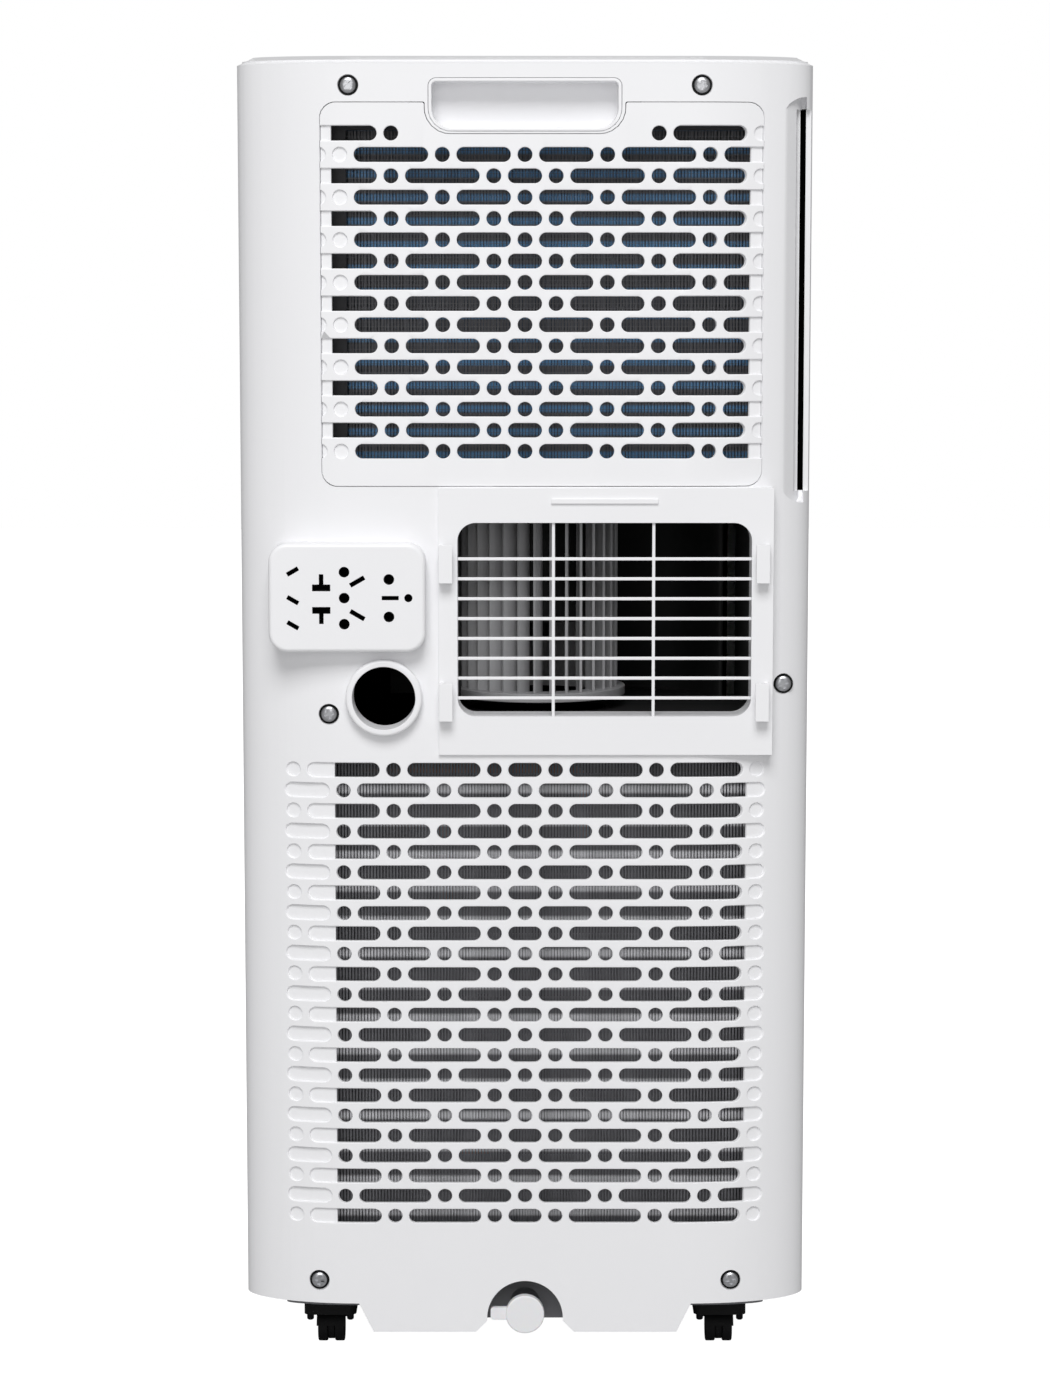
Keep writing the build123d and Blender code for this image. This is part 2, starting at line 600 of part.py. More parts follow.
def control_panel():
    """Panel plate with button holes, a display window and four posts for its board."""
    x0, y0, y1 = CONTROL_HALF - SEAT_GAP, CONTROL_Y0 + SEAT_GAP, CONTROL_Y1 - SEAT_GAP
    plate = block(-x0, x0, y0, y1, PANEL_TOP - 2.2, PANEL_TOP)
    skirt_wall = block(-x0, x0, y0, y1, SHELL_TOP - 5, PANEL_TOP)
    skirt_wall -= block(2 - x0, x0 - 2, y0 + 2, y1 - 2, SHELL_TOP - 80, HEIGHT + 10)
    flange = block(-x0 - 4, x0 + 4, y0 - 4, y1 + 4, SHELL_TOP - 5, SHELL_TOP - 2.2)
    flange -= block(2 - x0, x0 - 2, y0 + 2, y1 - 2, SHELL_TOP - 80, HEIGHT + 10)
    panel = plate + skirt_wall + flange
    for x in (-62.0, 62.0):
        for y in (y0 + 6, y1 - 6):
            panel += post(3.0, x, y, BOARD_Z + 1.6, PANEL_TOP - 1)
    for x in BUTTONS.values():
        panel -= post(BUTTON_R + 0.3, x, BUTTON_Y, PANEL_TOP - 5, PANEL_TOP + 5)
    return panel - block(-17, 17, BUTTON_Y - 10, BUTTON_Y + 10, PANEL_TOP - 5, PANEL_TOP + 5)


def display_window():
    """Tinted lens of the two-digit display."""
    lens = block(-16.8, 16.8, BUTTON_Y - 9.8, BUTTON_Y + 9.8, PANEL_TOP - 2.2, PANEL_TOP)
    return lens + block(-18.8, 18.8, BUTTON_Y - 11.8, BUTTON_Y + 11.8, PANEL_TOP - 3.6, PANEL_TOP - 2.2)


def control_board():
    """Circuit board under the panel, with a switch under each button and the display module."""
    board = block(-66, 66, CONTROL_Y0 + 4, CONTROL_Y1 - 4, BOARD_Z, BOARD_Z + 1.6)
    for x in BUTTONS.values():
        board += block(x - 3, x + 3, BUTTON_Y - 3, BUTTON_Y + 3, BOARD_Z + 1, BOARD_Z + 4.0)
    return board + block(-15, 15, BUTTON_Y - 8, BUTTON_Y + 8, BOARD_Z + 1, PANEL_TOP - 4.0)


def button(x):
    """A push button: cap, retaining flange under the panel, and stem to its switch."""
    cap = post(BUTTON_R, x, BUTTON_Y, PANEL_TOP - 2.6, BUTTON_TOP)
    cap = fillet(cap.faces().sort_by(Axis.Z)[-1].edges(), 0.6)
    flange = post(BUTTON_R + 1.5, x, BUTTON_Y, PANEL_TOP - 3.8, PANEL_TOP - 2.5)
    return cap + flange + post(2.0, x, BUTTON_Y, BOARD_Z + 4.0 + BUTTON_TRAVEL + 0.3, PANEL_TOP - 3)


# ======== base, drain and casters

def stepped_pan(inset, low, step_low, top):
    """The pan's outline as a solid: wide above the step, narrower below it."""
    wide = plan_solid(PAN_INSET + inset, step_low, top)
    return wide + plan_solid(PAN_STEP_IN + inset, low, step_low + 1)


def base_pan():
    """Tray that carries everything: condensate sump, screw posts and the niche for the drain."""
    pan = stepped_pan(0, PAN_Z, SHELL_Z, PAN_TOP)
    pan -= stepped_pan(PAN_WALL, PAN_Z + PAN_FLOOR, SHELL_Z + PAN_FLOOR, PAN_TOP + 1)
    wall_y = Y_REAR - NICHE_DEPTH
    half = NICHE_HALF + PAN_WALL
    pan += block(-half, half, wall_y - PAN_WALL, Y_REAR, PAN_Z, PAN_TOP) & plan_solid(PAN_INSET, 0, 100)
    pan += block(-half, half, wall_y - 24, wall_y, SUMP_Z, PAN_Z + PAN_FLOOR)
    pan -= block(-NICHE_HALF, NICHE_HALF, wall_y - 21.5, wall_y - PAN_WALL, SUMP_Z + PAN_WALL, PAN_Z + 10)
    pan -= block(-NICHE_HALF, NICHE_HALF, wall_y, Y_REAR + 5, 0, PAN_TOP - 10)
    pan += rod_y(SPOUT_R, 0, SPOUT_Z, wall_y - 1, Y_REAR - 6)
    pan -= rod_y(SPOUT_BORE_R, 0, SPOUT_Z, wall_y - 5, Y_REAR + 5)
    for x, z in SCREWS[4:]:
        face = Y_REAR - surface_depth(x) - PAN_INSET
        pan += block(x - 5.5, x + 5.5, face - 14, face - 1, z - 5.5, z + 5.5)
        pan -= rod_y(SCREW_SHANK_R + BEARING_GAP, x, z, face - 13, Y_REAR)
    return pan


def drain_cap():
    """Rubber plug of the drain, with its round cap and pull tab."""
    face = Y_REAR - 1.0
    cap = rod_y(CAP_R, 0, SPOUT_Z, face - 4.6, face)
    cap = fillet(cap.faces().sort_by(Axis.Y)[-1].edges(), 0.8)
    tab = block(0, 18.4, face - 4.0, face - 1.2, SPOUT_Z - 3.2, SPOUT_Z + 3.7)
    tab = fillet(tab.edges().filter_by(Axis.Y).sort_by(Axis.X)[-2:], 1.6)
    return cap + tab + rod_y(SPOUT_BORE_R - BEARING_GAP, 0, SPOUT_Z, face - 18, face - 4)


def caster_places():
    """Name, X and Y of each caster's swivel."""
    rear, front = Y_REAR - CASTER_IN, Y_FRONT + CASTER_IN
    return {"rear_left": (CASTER_X, rear), "rear_right": (-CASTER_X, rear),
            "front_left": (CASTER_X, front), "front_right": (-CASTER_X, front)}


def corner_offsets():
    """Where a caster's four screws lie, from its swivel."""
    return [(dx, dy) for dx in (-CASTER_SCREW, CASTER_SCREW) for dy in (-CASTER_SCREW, CASTER_SCREW)]


def caster_plates():
    """Mounting plates with the swivel bore."""
    solids = []
    for x, y in caster_places().values():
        outline = RectangleRounded(CASTER_PLATE, CASTER_PLATE, 4)
        plate = Pos(x, y, CASTER_PLATE_Z) * extrude(outline, amount=PAN_Z - CASTER_PLATE_Z)
        plate -= post(STEM_R + BEARING_GAP, x, y, 0, 50)
        plate -= [post(1.3, x + dx, y + dy, 0, 50) for dx, dy in corner_offsets()]
        solids.append(plate)
    return group(solids)


def caster_screws():
    """Screws at the corners of each caster plate, heads down."""
    solids = []
    for x, y in caster_places().values():
        for dx, dy in corner_offsets():
            head = post(1.9, x + dx, y + dy, CASTER_PLATE_Z - CASTER_SCREW_HEAD, CASTER_PLATE_Z)
            solids.append(head + post(1.25, x + dx, y + dy, CASTER_PLATE_Z - 1, PAN_Z))
    return group(solids)


def caster_fork(x, y):
    """Swivelling fork of a twin-wheel caster: stem, central web and hood over the wheels."""
    yw = y - TRAIL
    hood = Pos(yw, WHEEL_R) * (Circle(WHEEL_R + 1.0) - Circle(WHEEL_R + 0.3))
    hood = hood & (Pos(yw, WHEEL_R + 12) * Rectangle(40, 20))
    web = Pos(yw, WHEEL_R) * Circle(WHEEL_R - 1.2) + Pos(yw, WHEEL_R + 5) * Rectangle(9, 7)
    fork = prism_x(hood, x - HOOD_HALF, x + HOOD_HALF) + prism_x(web, x - WEB_HALF, x + WEB_HALF)
    fork += post(5.0, x, y, WHEEL_R * 2 + 0.35, CASTER_PLATE_Z - 0.25)
    fork += post(STEM_R, x, y, WHEEL_R * 2 + 0.4, PAN_Z - 0.3)
    return fork - rod_x(AXLE_R + BEARING_GAP, yw, WHEEL_R, x - 20, x + 20)


def caster_wheel(x, y):
    """Two treads moulded on one axle."""
    yw = y - TRAIL
    wheel = rod_x(AXLE_R, yw, WHEEL_R, x - WHEEL_HALF, x + WHEEL_HALF)
    for side in (-1, 1):
        a, b = x + side * (WEB_HALF + 0.3), x + side * WHEEL_HALF
        wheel += rod_x(WHEEL_R, yw, WHEEL_R, min(a, b), max(a, b))
    return wheel


# ======== filter and its housing

def filter_housing():
    """Frame between the rear grille and the evaporator, grooved for the sliding filter."""
    middle = Y_REAR - FILTER_DEPTH
    y0, y1 = middle - SLIT_HALF - 2.5, INSIDE_REAR
    outer = block(-122.0, 106.0, y0, y1, DECK_Z + DECK_THICK, FILTER_Z1 + 5)
    inner = block(WINDOW_RIGHT, WINDOW_LEFT, y0 - 1, y1 + 1, FILTER_Z0 + 12, FILTER_Z1 - 6)
    groove = block(-130.0, 104.0, middle - SLIT_HALF, middle + SLIT_HALF, FILTER_Z0 - SLIDE_GAP,
                   FILTER_Z1 + SLIDE_GAP)
    housing = (outer & plan_solid(WALL + LEDGE_THICK + SEAT_GAP, 400, 700)) - inner - groove
    housing -= block(-200, 200, INSIDE_REAR - LEDGE_THICK - 0.3, Y_REAR, PANEL_Z0 + LEDGE + 1, PANEL_Z1 - LEDGE)
    cup_half = HANDLE_W / 2 + HANDLE_WALL + 2.5
    return housing - block(-cup_half, cup_half, Y_REAR - HANDLE_DEPTH - HANDLE_WALL - 0.5, Y_REAR,
                           HANDLE_Z0 - HANDLE_WALL - 2.5, 700)


def filter_frame():
    """Sliding filter frame, pulled out of the side by its end."""
    middle = Y_REAR - FILTER_DEPTH
    half = FILTER_THICK / 2
    frame = block(-WIDTH / 2 + 9.0, 103.0, middle - half, middle + half, FILTER_Z0, FILTER_Z1)
    frame -= block(-126.0, 93.0, middle - half - 1, middle + half + 1, FILTER_Z0 + 10, FILTER_Z1 - 10)
    return frame


def filter_mesh():
    """Dust mesh stretched in the filter frame."""
    middle = Y_REAR - FILTER_DEPTH
    return block(-126.0, 93.0, middle - 0.3, middle + 0.3, FILTER_Z0 + 10, FILTER_Z1 - 10)


# ======== heat exchangers

def fin_pack(columns, first, pitch, rows, x0, x1, depth, stand):
    """Upright fins on a set of horizontal tubes. The end fins reach down to what they stand on."""
    low, high = first - pitch / 2, first + (rows - 0.5) * pitch
    y = sum(columns) / len(columns)
    face = Pos(y, (low + high) / 2) * Rectangle(depth, high - low)
    foot = Pos(y, (stand + low) / 2) * Rectangle(depth / 2, low - stand)
    holes = [Pos(c, first + i * pitch) * Circle(TUBE_R + 0.05) for c in columns for i in range(rows)]
    fin = prism_x(face - holes, 0, FIN_THICK)
    end = prism_x(face + foot - holes, 0, FIN_THICK)
    step = (x1 - x0 - FIN_THICK) / (FIN_COUNT - 1)
    middle = [Pos(x0 + i * step, 0, 0) * fin for i in range(1, FIN_COUNT - 1)]
    return group([Pos(x0, 0, 0) * end, *middle, Pos(x1 - FIN_THICK, 0, 0) * end])


def half_ring(span):
    """Half-round bend of tube across span, in the XZ plane, its ends facing -X at x = 0."""
    ring = Plane.XY * (Pos(span / 2, 0) * (Circle(TUBE_R) - Circle(TUBE_BORE_R)))
    return Rot(0, 90, 0) * revolve(ring, Axis.Y, -180)


def tube_bank(columns, first, pitch, rows, x0, x1, crossover):
    """Straight tubes and the bends between them, as separate brazed pieces.

    The bends leave the +X ends of the lowest and the highest row free; crossover is the row where
    one bend joins the two columns.
    """
    ring = Circle(TUBE_R) - Circle(TUBE_BORE_R)
    solids = []
    for c in columns:
        for i in range(rows):
            solids.append(prism_x(Pos(c, first + i * pitch) * ring, x0, x1))
        for i in range(rows - 1):
            turn, x = (180, x0) if i % 2 == 0 else (0, x1)
            solids.append(Pos(x, c, first + (i + 0.5) * pitch) * Rot(0, 0, turn) * half_ring(pitch))
    across = Rot(90, 0, 0) * half_ring(columns[1] - columns[0])
    solids.append(Pos(x1, sum(columns) / 2, first + crossover * pitch) * across)
    return group(solids)


def evaporator_fins():
    return fin_pack(EVAP_Y, EVAP_FIRST, EVAP_PITCH, EVAP_TUBES, EVAP_X0 + 5, EVAP_X1 - 5, 28.0,
                    DECK_Z + DECK_THICK)


def evaporator_tubes():
    return tube_bank(EVAP_Y, EVAP_FIRST, EVAP_PITCH, EVAP_TUBES, EVAP_X0, EVAP_X1, EVAP_TUBES - 1)


def condenser_fins():
    return fin_pack(COND_Y, COND_FIRST, COND_PITCH, COND_TUBES, COND_X0 + 6, COND_X1 - 6, 28.0,
                    PAN_Z + PAN_FLOOR)


def condenser_tubes():
    return tube_bank(COND_Y, COND_FIRST, COND_PITCH, COND_TUBES, COND_X0, COND_X1, 0)


# ======== exhaust blower

def scroll_curve(extra):
    """Outline of the exhaust scroll's wall, grown by extra: a spiral, then straight to the outlet."""
    tongue, mouth = EXHAUST_R + 3.0, EXHAUST_X - OUTLET_X0
    points = []
    for i in range(15):
        turn = i / 14
        angle = math.radians(35 - 215 * turn)
        r = tongue + (mouth - tongue) * turn + extra
        points.append((EXHAUST_X + r * math.cos(angle), EXHAUST_Y + r * math.sin(angle)))
    end_y = Y_REAR - SLEEVE_DEPTH - 0.3
    right = OUTLET_X1 + extra
    first = points[0]
    lines = [Line((right, end_y), (right, first[1] + 8)), Line((right, first[1] + 8), first),
             Spline(*points, tangents=((0.3, -1.0), (0.0, 1.0))),
             Line(points[-1], (points[-1][0], end_y)), Line((points[-1][0], end_y), (right, end_y))]
    return make_face(lines)


def exhaust_scroll():
    """Volute round the exhaust wheel: floor with the inlet ring, and the spiral wall."""
    wall = extrude(Pos(0, 0, SCROLL_Z) * (scroll_curve(2.0) - scroll_curve(0.0)), amount=DECK_Z - SCROLL_Z)
    floor = extrude(Pos(0, 0, SCROLL_Z - 2) * scroll_curve(2.0), amount=2.0)
    floor -= post(EXHAUST_R - 9, EXHAUST_X, EXHAUST_Y, 300, 400)
    return wall + floor


def ring_z(outer, inner, z0, z1):
    """A ring about the Z axis."""
    return Pos(0, 0, z0) * extrude(Circle(outer) - Circle(inner), amount=z1 - z0)


def blade_set(count, outer, inner, z0, z1, thick):
    """Forward-curved blades standing round the Z axis."""
    mid = (outer + inner) / 2
    length = (outer - inner) * 1.12
    blade = Pos(mid, 0) * Rot(0, 0, 28) * Rectangle(length, thick)
    solid = Pos(0, 0, z0) * extrude(blade, amount=z1 - z0)
    return [Rot(0, 0, 360 * i / count) * solid for i in range(count)]


def wheel(radius, blade_r, count, height, hub_depth, cup_r, bore):
    """Centrifugal wheel about Z, inlet ring at the bottom, back plate with a hub cup at the top."""
    inner = blade_r - 9.0
    ring = ring_z(radius, inner, 0, 4.7)
    back = ring_z(radius, cup_r - 2, height - 2, height)
    cup = ring_z(cup_r, cup_r - 2, height - hub_depth, height)
    floor = ring_z(cup_r, bore, height - hub_depth - 2, height - hub_depth)
    hub = ring_z(bore + 3, bore, height - hub_depth - 12, height - hub_depth)
    body = ring + blade_set(count, blade_r, inner, 4.0, height - 1.5, 1.4)
    return body + back + cup + floor + hub


def exhaust_wheel():
    """Blower wheel seen through the outlet; its motor sits in the hub cup."""
    shape = wheel(EXHAUST_R, EXHAUST_BLADE_R, EXHAUST_BLADES, EXHAUST_Z1 - EXHAUST_Z0, 56.0, 33.0, 3.0)
    return Pos(EXHAUST_X, EXHAUST_Y, EXHAUST_Z0) * shape


def exhaust_shaft():
    low = EXHAUST_Z1 - 56.0 - 12.0
    return post(3.0, EXHAUST_X, EXHAUST_Y, low, DECK_Z - 20)


def exhaust_motor():
    """Motor can hanging from the deck into the wheel's hub cup."""
    can = post(29.0, EXHAUST_X, EXHAUST_Y, EXHAUST_Z1 - 52.0, DECK_Z - 2)
    flange = post(38.0, EXHAUST_X, EXHAUST_Y, DECK_Z - 3.5, DECK_Z)
    return can + flange - post(3.0 + BEARING_GAP, EXHAUST_X, EXHAUST_Y, 300, DECK_Z - 18)


def middle_deck():
    """Deck between the hot and the cold side, with the drip tray under the evaporator."""
    deck = plan_solid(WALL + SEAT_GAP + 2.0, DECK_Z, DECK_Z + DECK_THICK)
    tray = block(-124, 116, 80, 117, DECK_Z, DECK_Z + 16)
    tray -= block(-122, 114, 82, 115, DECK_Z + DECK_THICK, DECK_Z + 20)
    deck = deck + tray
    deck -= [post(8.0, PIPE_X, y, 400, 500) for y in (SUCTION_Y, LIQUID_Y)]
    return deck - recess_solid(WALL + SEAT_GAP)


# ======== cold blower and outlet

def along_y(shape, x, z, y):
    """Turns a shape built about Z so that its top points to -Y, with its base at y."""
    return Pos(x, y, z) * Rot(90, 0, 0) * shape


def cold_scroll():
    """Housing of the cold blower: a drum with the outlet duct's mouth above it."""
    wall = 2.0
    drum = rod_y(COLD_SCROLL_R, 0, COLD_Z, COLD_Y0, COLD_Y1)
    mouth = block(-DUCT_HALF - wall, DUCT_HALF + wall, COLD_Y0, COLD_Y1, DUCT_Z0 - wall, DUCT_Z1 + wall)
    hollow = rod_y(COLD_SCROLL_R - wall, 0, COLD_Z, COLD_Y0 + wall, COLD_Y1 - wall)
    hollow += block(-DUCT_HALF, DUCT_HALF, COLD_Y0 + wall, COLD_Y1 - wall, DUCT_Z0, DUCT_Z1)
    housing = drum + mouth - hollow
    housing &= block(-200, 200, 0, 100, COLD_Z - COLD_SCROLL_R, DUCT_Z1 + wall)
    housing -= block(-DUCT_HALF, DUCT_HALF, COLD_Y0 - 1, COLD_Y0 + wall + 1, DUCT_Z0, DUCT_Z1)
    housing -= rod_y(COLD_R - 8, 0, COLD_Z, COLD_Y1 - 5, COLD_Y1 + 1)
    housing -= rod_y(6.0, 0, COLD_Z, COLD_Y0 - 1, COLD_Y0 + 5)
    feet = [block(x - 10, x + 10, COLD_Y0, COLD_Y1 - 1, DECK_Z + DECK_THICK, COLD_Z - COLD_SCROLL_R + 8)
            for x in (-30, 30)]
    feet = [foot - rod_y(COLD_SCROLL_R - 1, 0, COLD_Z, 0, 100) for foot in feet]
    return housing + feet


def cold_wheel():
    shape = wheel(COLD_R, COLD_R - 3, COLD_BLADES, 56.0, 18.0, 34.0, 4.0)
    return along_y(shape, 0, COLD_Z, COLD_Y1 - 8)


def cold_shaft():
    return rod_y(4.0, 0, COLD_Z, COLD_Y0 - 24, COLD_Y1 - 8 - 56 + 18 + 12)


def cold_motor():
    """Motor on the front of the cold blower's housing."""
    can = rod_y(34.0, 0, COLD_Z, COLD_Y0 - 46, COLD_Y0 - 3)
    can = fillet(can.faces().sort_by(Axis.Y)[0].edges(), 5)
    flange = rod_y(38.0, 0, COLD_Z, COLD_Y0 - 3.5, COLD_Y0)
    return can + flange - rod_y(4.0 + BEARING_GAP, 0, COLD_Z, COLD_Y0 - 26, COLD_Y0 + 5)


def air_duct():
    """Channel from the cold blower to the front outlet, with ears for the flap's pins."""
    wall = 2.0
    outer = block(-DUCT_HALF - wall, DUCT_HALF + wall, DUCT_FRONT, COLD_Y0, DUCT_Z0 - wall, DUCT_Z1 + wall)
    duct = outer - block(-DUCT_HALF, DUCT_HALF, DUCT_FRONT - 1, COLD_Y0 + 1, DUCT_Z0, DUCT_Z1)
    for side in (-1, 1):
        a, b = side * DUCT_HALF, side * (DUCT_HALF + wall)
        duct += block(min(a, b), max(a, b), INSIDE_FRONT + 0.1, DUCT_FRONT + 1, DUCT_Z0 - 3.5, DUCT_Z1 + wall)
    return duct - rod_x(1.5 + BEARING_GAP, FLAP_AXIS_Y, FLAP_AXIS_Z, -120, 120)


def guide_vanes():
    """Fixed upright vanes inside the outlet, on two cross bars."""
    vanes = [block(x - 0.8, x + 0.8, -132, -104, DUCT_Z0, DUCT_Z1) for x in range(-84, 85, 28)]
    rails = [block(-DUCT_HALF, DUCT_HALF, -119, -117, z - 1, z + 1) for z in (DUCT_Z0 + 14, DUCT_Z1 - 14)]
    return vanes[0] + vanes[1:] + rails


def outlet_flap():
    """Motor-driven flap that closes the cold air outlet, with a pin at each end."""
    flap = block(-FLAP_HALF, FLAP_HALF, Y_FRONT, Y_FRONT + FLAP_THICK, FLAP_Z0, FLAP_Z1)
    flap += block(-FLAP_HALF + 8, FLAP_HALF - 8, Y_FRONT + 1, Y_FRONT + 5, FLAP_Z1 - 6, FLAP_Z1 - 4.5)
    y = FLAP_AXIS_Y
    for side in (-1, 1):
        a, b = side * (FLAP_HALF - 3), side * FLAP_HALF
        flap += block(min(a, b), max(a, b), Y_FRONT + 1, y, FLAP_AXIS_Z - 1.9, FLAP_AXIS_Z + 2.4)
        flap += rod_x(2.4, y, FLAP_AXIS_Z, min(a, b), max(a, b))
    flap += rod_x(1.5, y, FLAP_AXIS_Z, -DUCT_HALF - 1.5, -FLAP_HALF + 1)
    return flap + rod_x(1.5, y, FLAP_AXIS_Z, FLAP_HALF - 1, DUCT_HALF + 9)


def swing_motor():
    """Small geared motor on the duct's side, turning the flap."""
    y = FLAP_AXIS_Y
    can = rod_x(10.0, y + 8.5, FLAP_AXIS_Z, DUCT_HALF + 2.0, DUCT_HALF + 16)
    gear = block(DUCT_HALF + 2.0, DUCT_HALF + 12, y - 3.0, y + 12, FLAP_AXIS_Z - 6, FLAP_AXIS_Z + 6)
    return can + gear - rod_x(1.5 + BEARING_GAP, y, FLAP_AXIS_Z, 50, DUCT_HALF + 10)


# ======== refrigeration circuit

COMP_X, COMP_Y = -34.0, -52.0
ACC_X = 46.0


def compressor():
    """Hermetic rotary compressor on a three-armed foot plate."""
    body = post(55.0, COMP_X, COMP_Y, 50, 236)
    body = fillet(body.edges().filter_by(GeomType.CIRCLE), 22)
    body += post(57.0, COMP_X, COMP_Y, 205, 211)
    body += post(9.0, COMP_X, COMP_Y, 230, 244)
    terminal = block(COMP_X - 14, COMP_X + 14, COMP_Y - 40, COMP_Y - 14, 228, 246)
    body = body + terminal
    for i in range(3):
        arm = block(0, 66, -9, 9, 44, 48) + post(12, 66, 0, 44, 48) - post(5.0, 66, 0, 0, 60)
        body += Pos(COMP_X, COMP_Y, 0) * Rot(0, 0, 90 + 120 * i) * arm
    return body + post(36.0, COMP_X, COMP_Y, 44, 56)


def compressor_feet():
    """Rubber grommets between the compressor and the pan."""
    foot = post(10.0, 66, 0, PAN_Z + PAN_FLOOR, 44) + post(4.8, 66, 0, 40, 52)
    return group([Pos(COMP_X, COMP_Y, 0) * Rot(0, 0, 90 + 120 * i) * foot for i in range(3)])


def accumulator():
    """Suction accumulator beside the compressor, on a strap."""
    can = fillet(post(19.0, ACC_X, COMP_Y, 84, 214).edges(), 9)
    strap = block(COMP_X + 54.5, ACC_X - 17, COMP_Y - 8, COMP_Y + 8, 150, 162)
    return can + strap - post(55.3, COMP_X, COMP_Y, 100, 220)


def pipe(points, radii, radius):
    """A tube along straight runs and tangent arcs."""
    path = FilletPolyline(*points, radius=radii)
    start = Plane(origin=path @ 0, z_dir=path % 0)
    return sweep(start * Circle(radius), path=path)


def refrigerant_pipes():
    """Discharge, suction and liquid lines, and the elbow below the accumulator."""
    top = COND_FIRST + (COND_TUBES - 1) * COND_PITCH
    discharge = pipe(((COMP_X, COMP_Y, 244.2), (COMP_X, COMP_Y, 292), (138, COMP_Y, 292),
                      (138, COND_Y[0], 292), (138, COND_Y[0], top), (COND_X1 + 0.2, COND_Y[0], top)), 10, 4.0)
    suction = pipe(((ACC_X, COMP_Y, 214.2), (ACC_X, COMP_Y, 262), (PIPE_X, COMP_Y, 262),
                    (PIPE_X, SUCTION_Y, 262), (PIPE_X, SUCTION_Y, 520), (PIPE_X, EVAP_Y[0], 520),
                    (PIPE_X, EVAP_Y[0], EVAP_FIRST), (EVAP_X1 + 0.2, EVAP_Y[0], EVAP_FIRST)), 10, 5.0)
    liquid = pipe(((COND_X1 + 0.2, COND_Y[1], top), (PIPE_X, COND_Y[1], top), (PIPE_X, COND_Y[1], 160),
                   (PIPE_X, LIQUID_Y, 160), (PIPE_X, LIQUID_Y, 180)), 8, 3.0)
    capillary = pipe(((PIPE_X, LIQUID_Y, 250.2), (PIPE_X, LIQUID_Y, 474), (PIPE_X, EVAP_Y[1], 474),
                      (118, EVAP_Y[1], 474), (118, EVAP_Y[1], EVAP_FIRST),
                      (EVAP_X1 + 0.2, EVAP_Y[1], EVAP_FIRST)), 4.5, 2.0)
    elbow = pipe(((ACC_X, COMP_Y, 83.8), (ACC_X, COMP_Y, 68), (COMP_X + 50, COMP_Y, 68)), 10, 5.0)
    elbow -= post(55.3, COMP_X, COMP_Y, 40, 100)
    return group([discharge, suction, liquid, capillary, elbow])


def filter_drier():
    """Copper drier in the liquid line."""
    body = post(9.0, PIPE_X, LIQUID_Y, 190, 240)
    body = fillet(body.edges().filter_by(GeomType.CIRCLE), 5)
    return body + post(4.0, PIPE_X, LIQUID_Y, 180.2, 192) + post(3.0, PIPE_X, LIQUID_Y, 238, 250)


# ======== electrics

def control_box():
    """Steel box for the main board and the run capacitor."""
    box = block(-90, 80, -150, -112, 330, 440)
    box -= block(-88, 78, -151, -114, 332, 438)
    tabs = [block(x - 8, x + 8, -150, -148.4, 440, DECK_Z) for x in (-60, 50)]
    return box + tabs


def main_board():
    """Main circuit board with its relay, transformer and terminal block."""
    board = block(-84, 44, -117, -115.4, 338, 432)
    parts = [(-70, -50, 28, 390, 412), (-40, -16, 22, 380, 404), (-6, 12, 16, 386, 410), (-74, 20, 12, 345, 357)]
    for x0, x1, high, z0, z1 in parts:
        board += block(x0, x1, -117 - high, -116, z0, z1)
    return board + block(-80, -74, -116, -114, 340, 344)


def run_capacitor():
    """Oval run capacitor in the box's end."""
    can = post(13.0, 62, -131, 332.2, 395)
    return fillet(can.faces().sort_by(Axis.Z)[-1].edges(), 2)


# ======== all pieces

def pieces():
    """Every piece, by the name of its file."""
    made = {
        "rear_shell": rear_shell(), "intake_grille": intake_grille(), "handle_cup": handle_cup(),
        "exhaust_frame": exhaust_frame(), "exhaust_guard": exhaust_guard(), "plug_holder": plug_holder(),
        "cord_port": cord_port(), "case_screws": case_screws(), "front_shell": front_shell(),
        "top_cover": top_cover(), "control_panel": control_panel(), "display_window": display_window(),
        "control_board": control_board(), "base_pan": base_pan(), "drain_cap": drain_cap(),
        "caster_plates": caster_plates(), "caster_screws": caster_screws(),
        "filter_housing": filter_housing(), "filter_frame": filter_frame(), "filter_mesh": filter_mesh(),
        "evaporator_fins": evaporator_fins(), "evaporator_tubes": evaporator_tubes(),
        "condenser_fins": condenser_fins(), "condenser_tubes": condenser_tubes(),
        "exhaust_scroll": exhaust_scroll(), "exhaust_wheel": exhaust_wheel(), "exhaust_shaft": exhaust_shaft(),
        "exhaust_motor": exhaust_motor(), "middle_deck": middle_deck(), "cold_scroll": cold_scroll(),
        "cold_wheel": cold_wheel(), "cold_shaft": cold_shaft(), "cold_motor": cold_motor(),
        "air_duct": air_duct(), "guide_vanes": guide_vanes(), "outlet_flap": outlet_flap(),
        "swing_motor": swing_motor(), "compressor": compressor(), "compressor_feet": compressor_feet(),
        "accumulator": accumulator(), "refrigerant_pipes": refrigerant_pipes(), "filter_drier": filter_drier(),
        "control_box": control_box(), "main_board": main_board(), "run_capacitor": run_capacitor(),
    }
    for name, x in BUTTONS.items():
        made[f"button_{name}"] = button(x)
    for name, (x, y) in caster_places().items():
        made[f"caster_fork_{name}"] = caster_fork(x, y)
        made[f"caster_wheel_{name}"] = caster_wheel(x, y)
    return made


if __name__ == "__main__":
    os.makedirs("parts", exist_ok=True)
    for name, shape in pieces().items():
        export_step(shape, f"parts/{name}.step")
    print("wrote the pieces to parts/")
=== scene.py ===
import json
import math

import bmesh
import bpy
from mathutils import Matrix, Vector

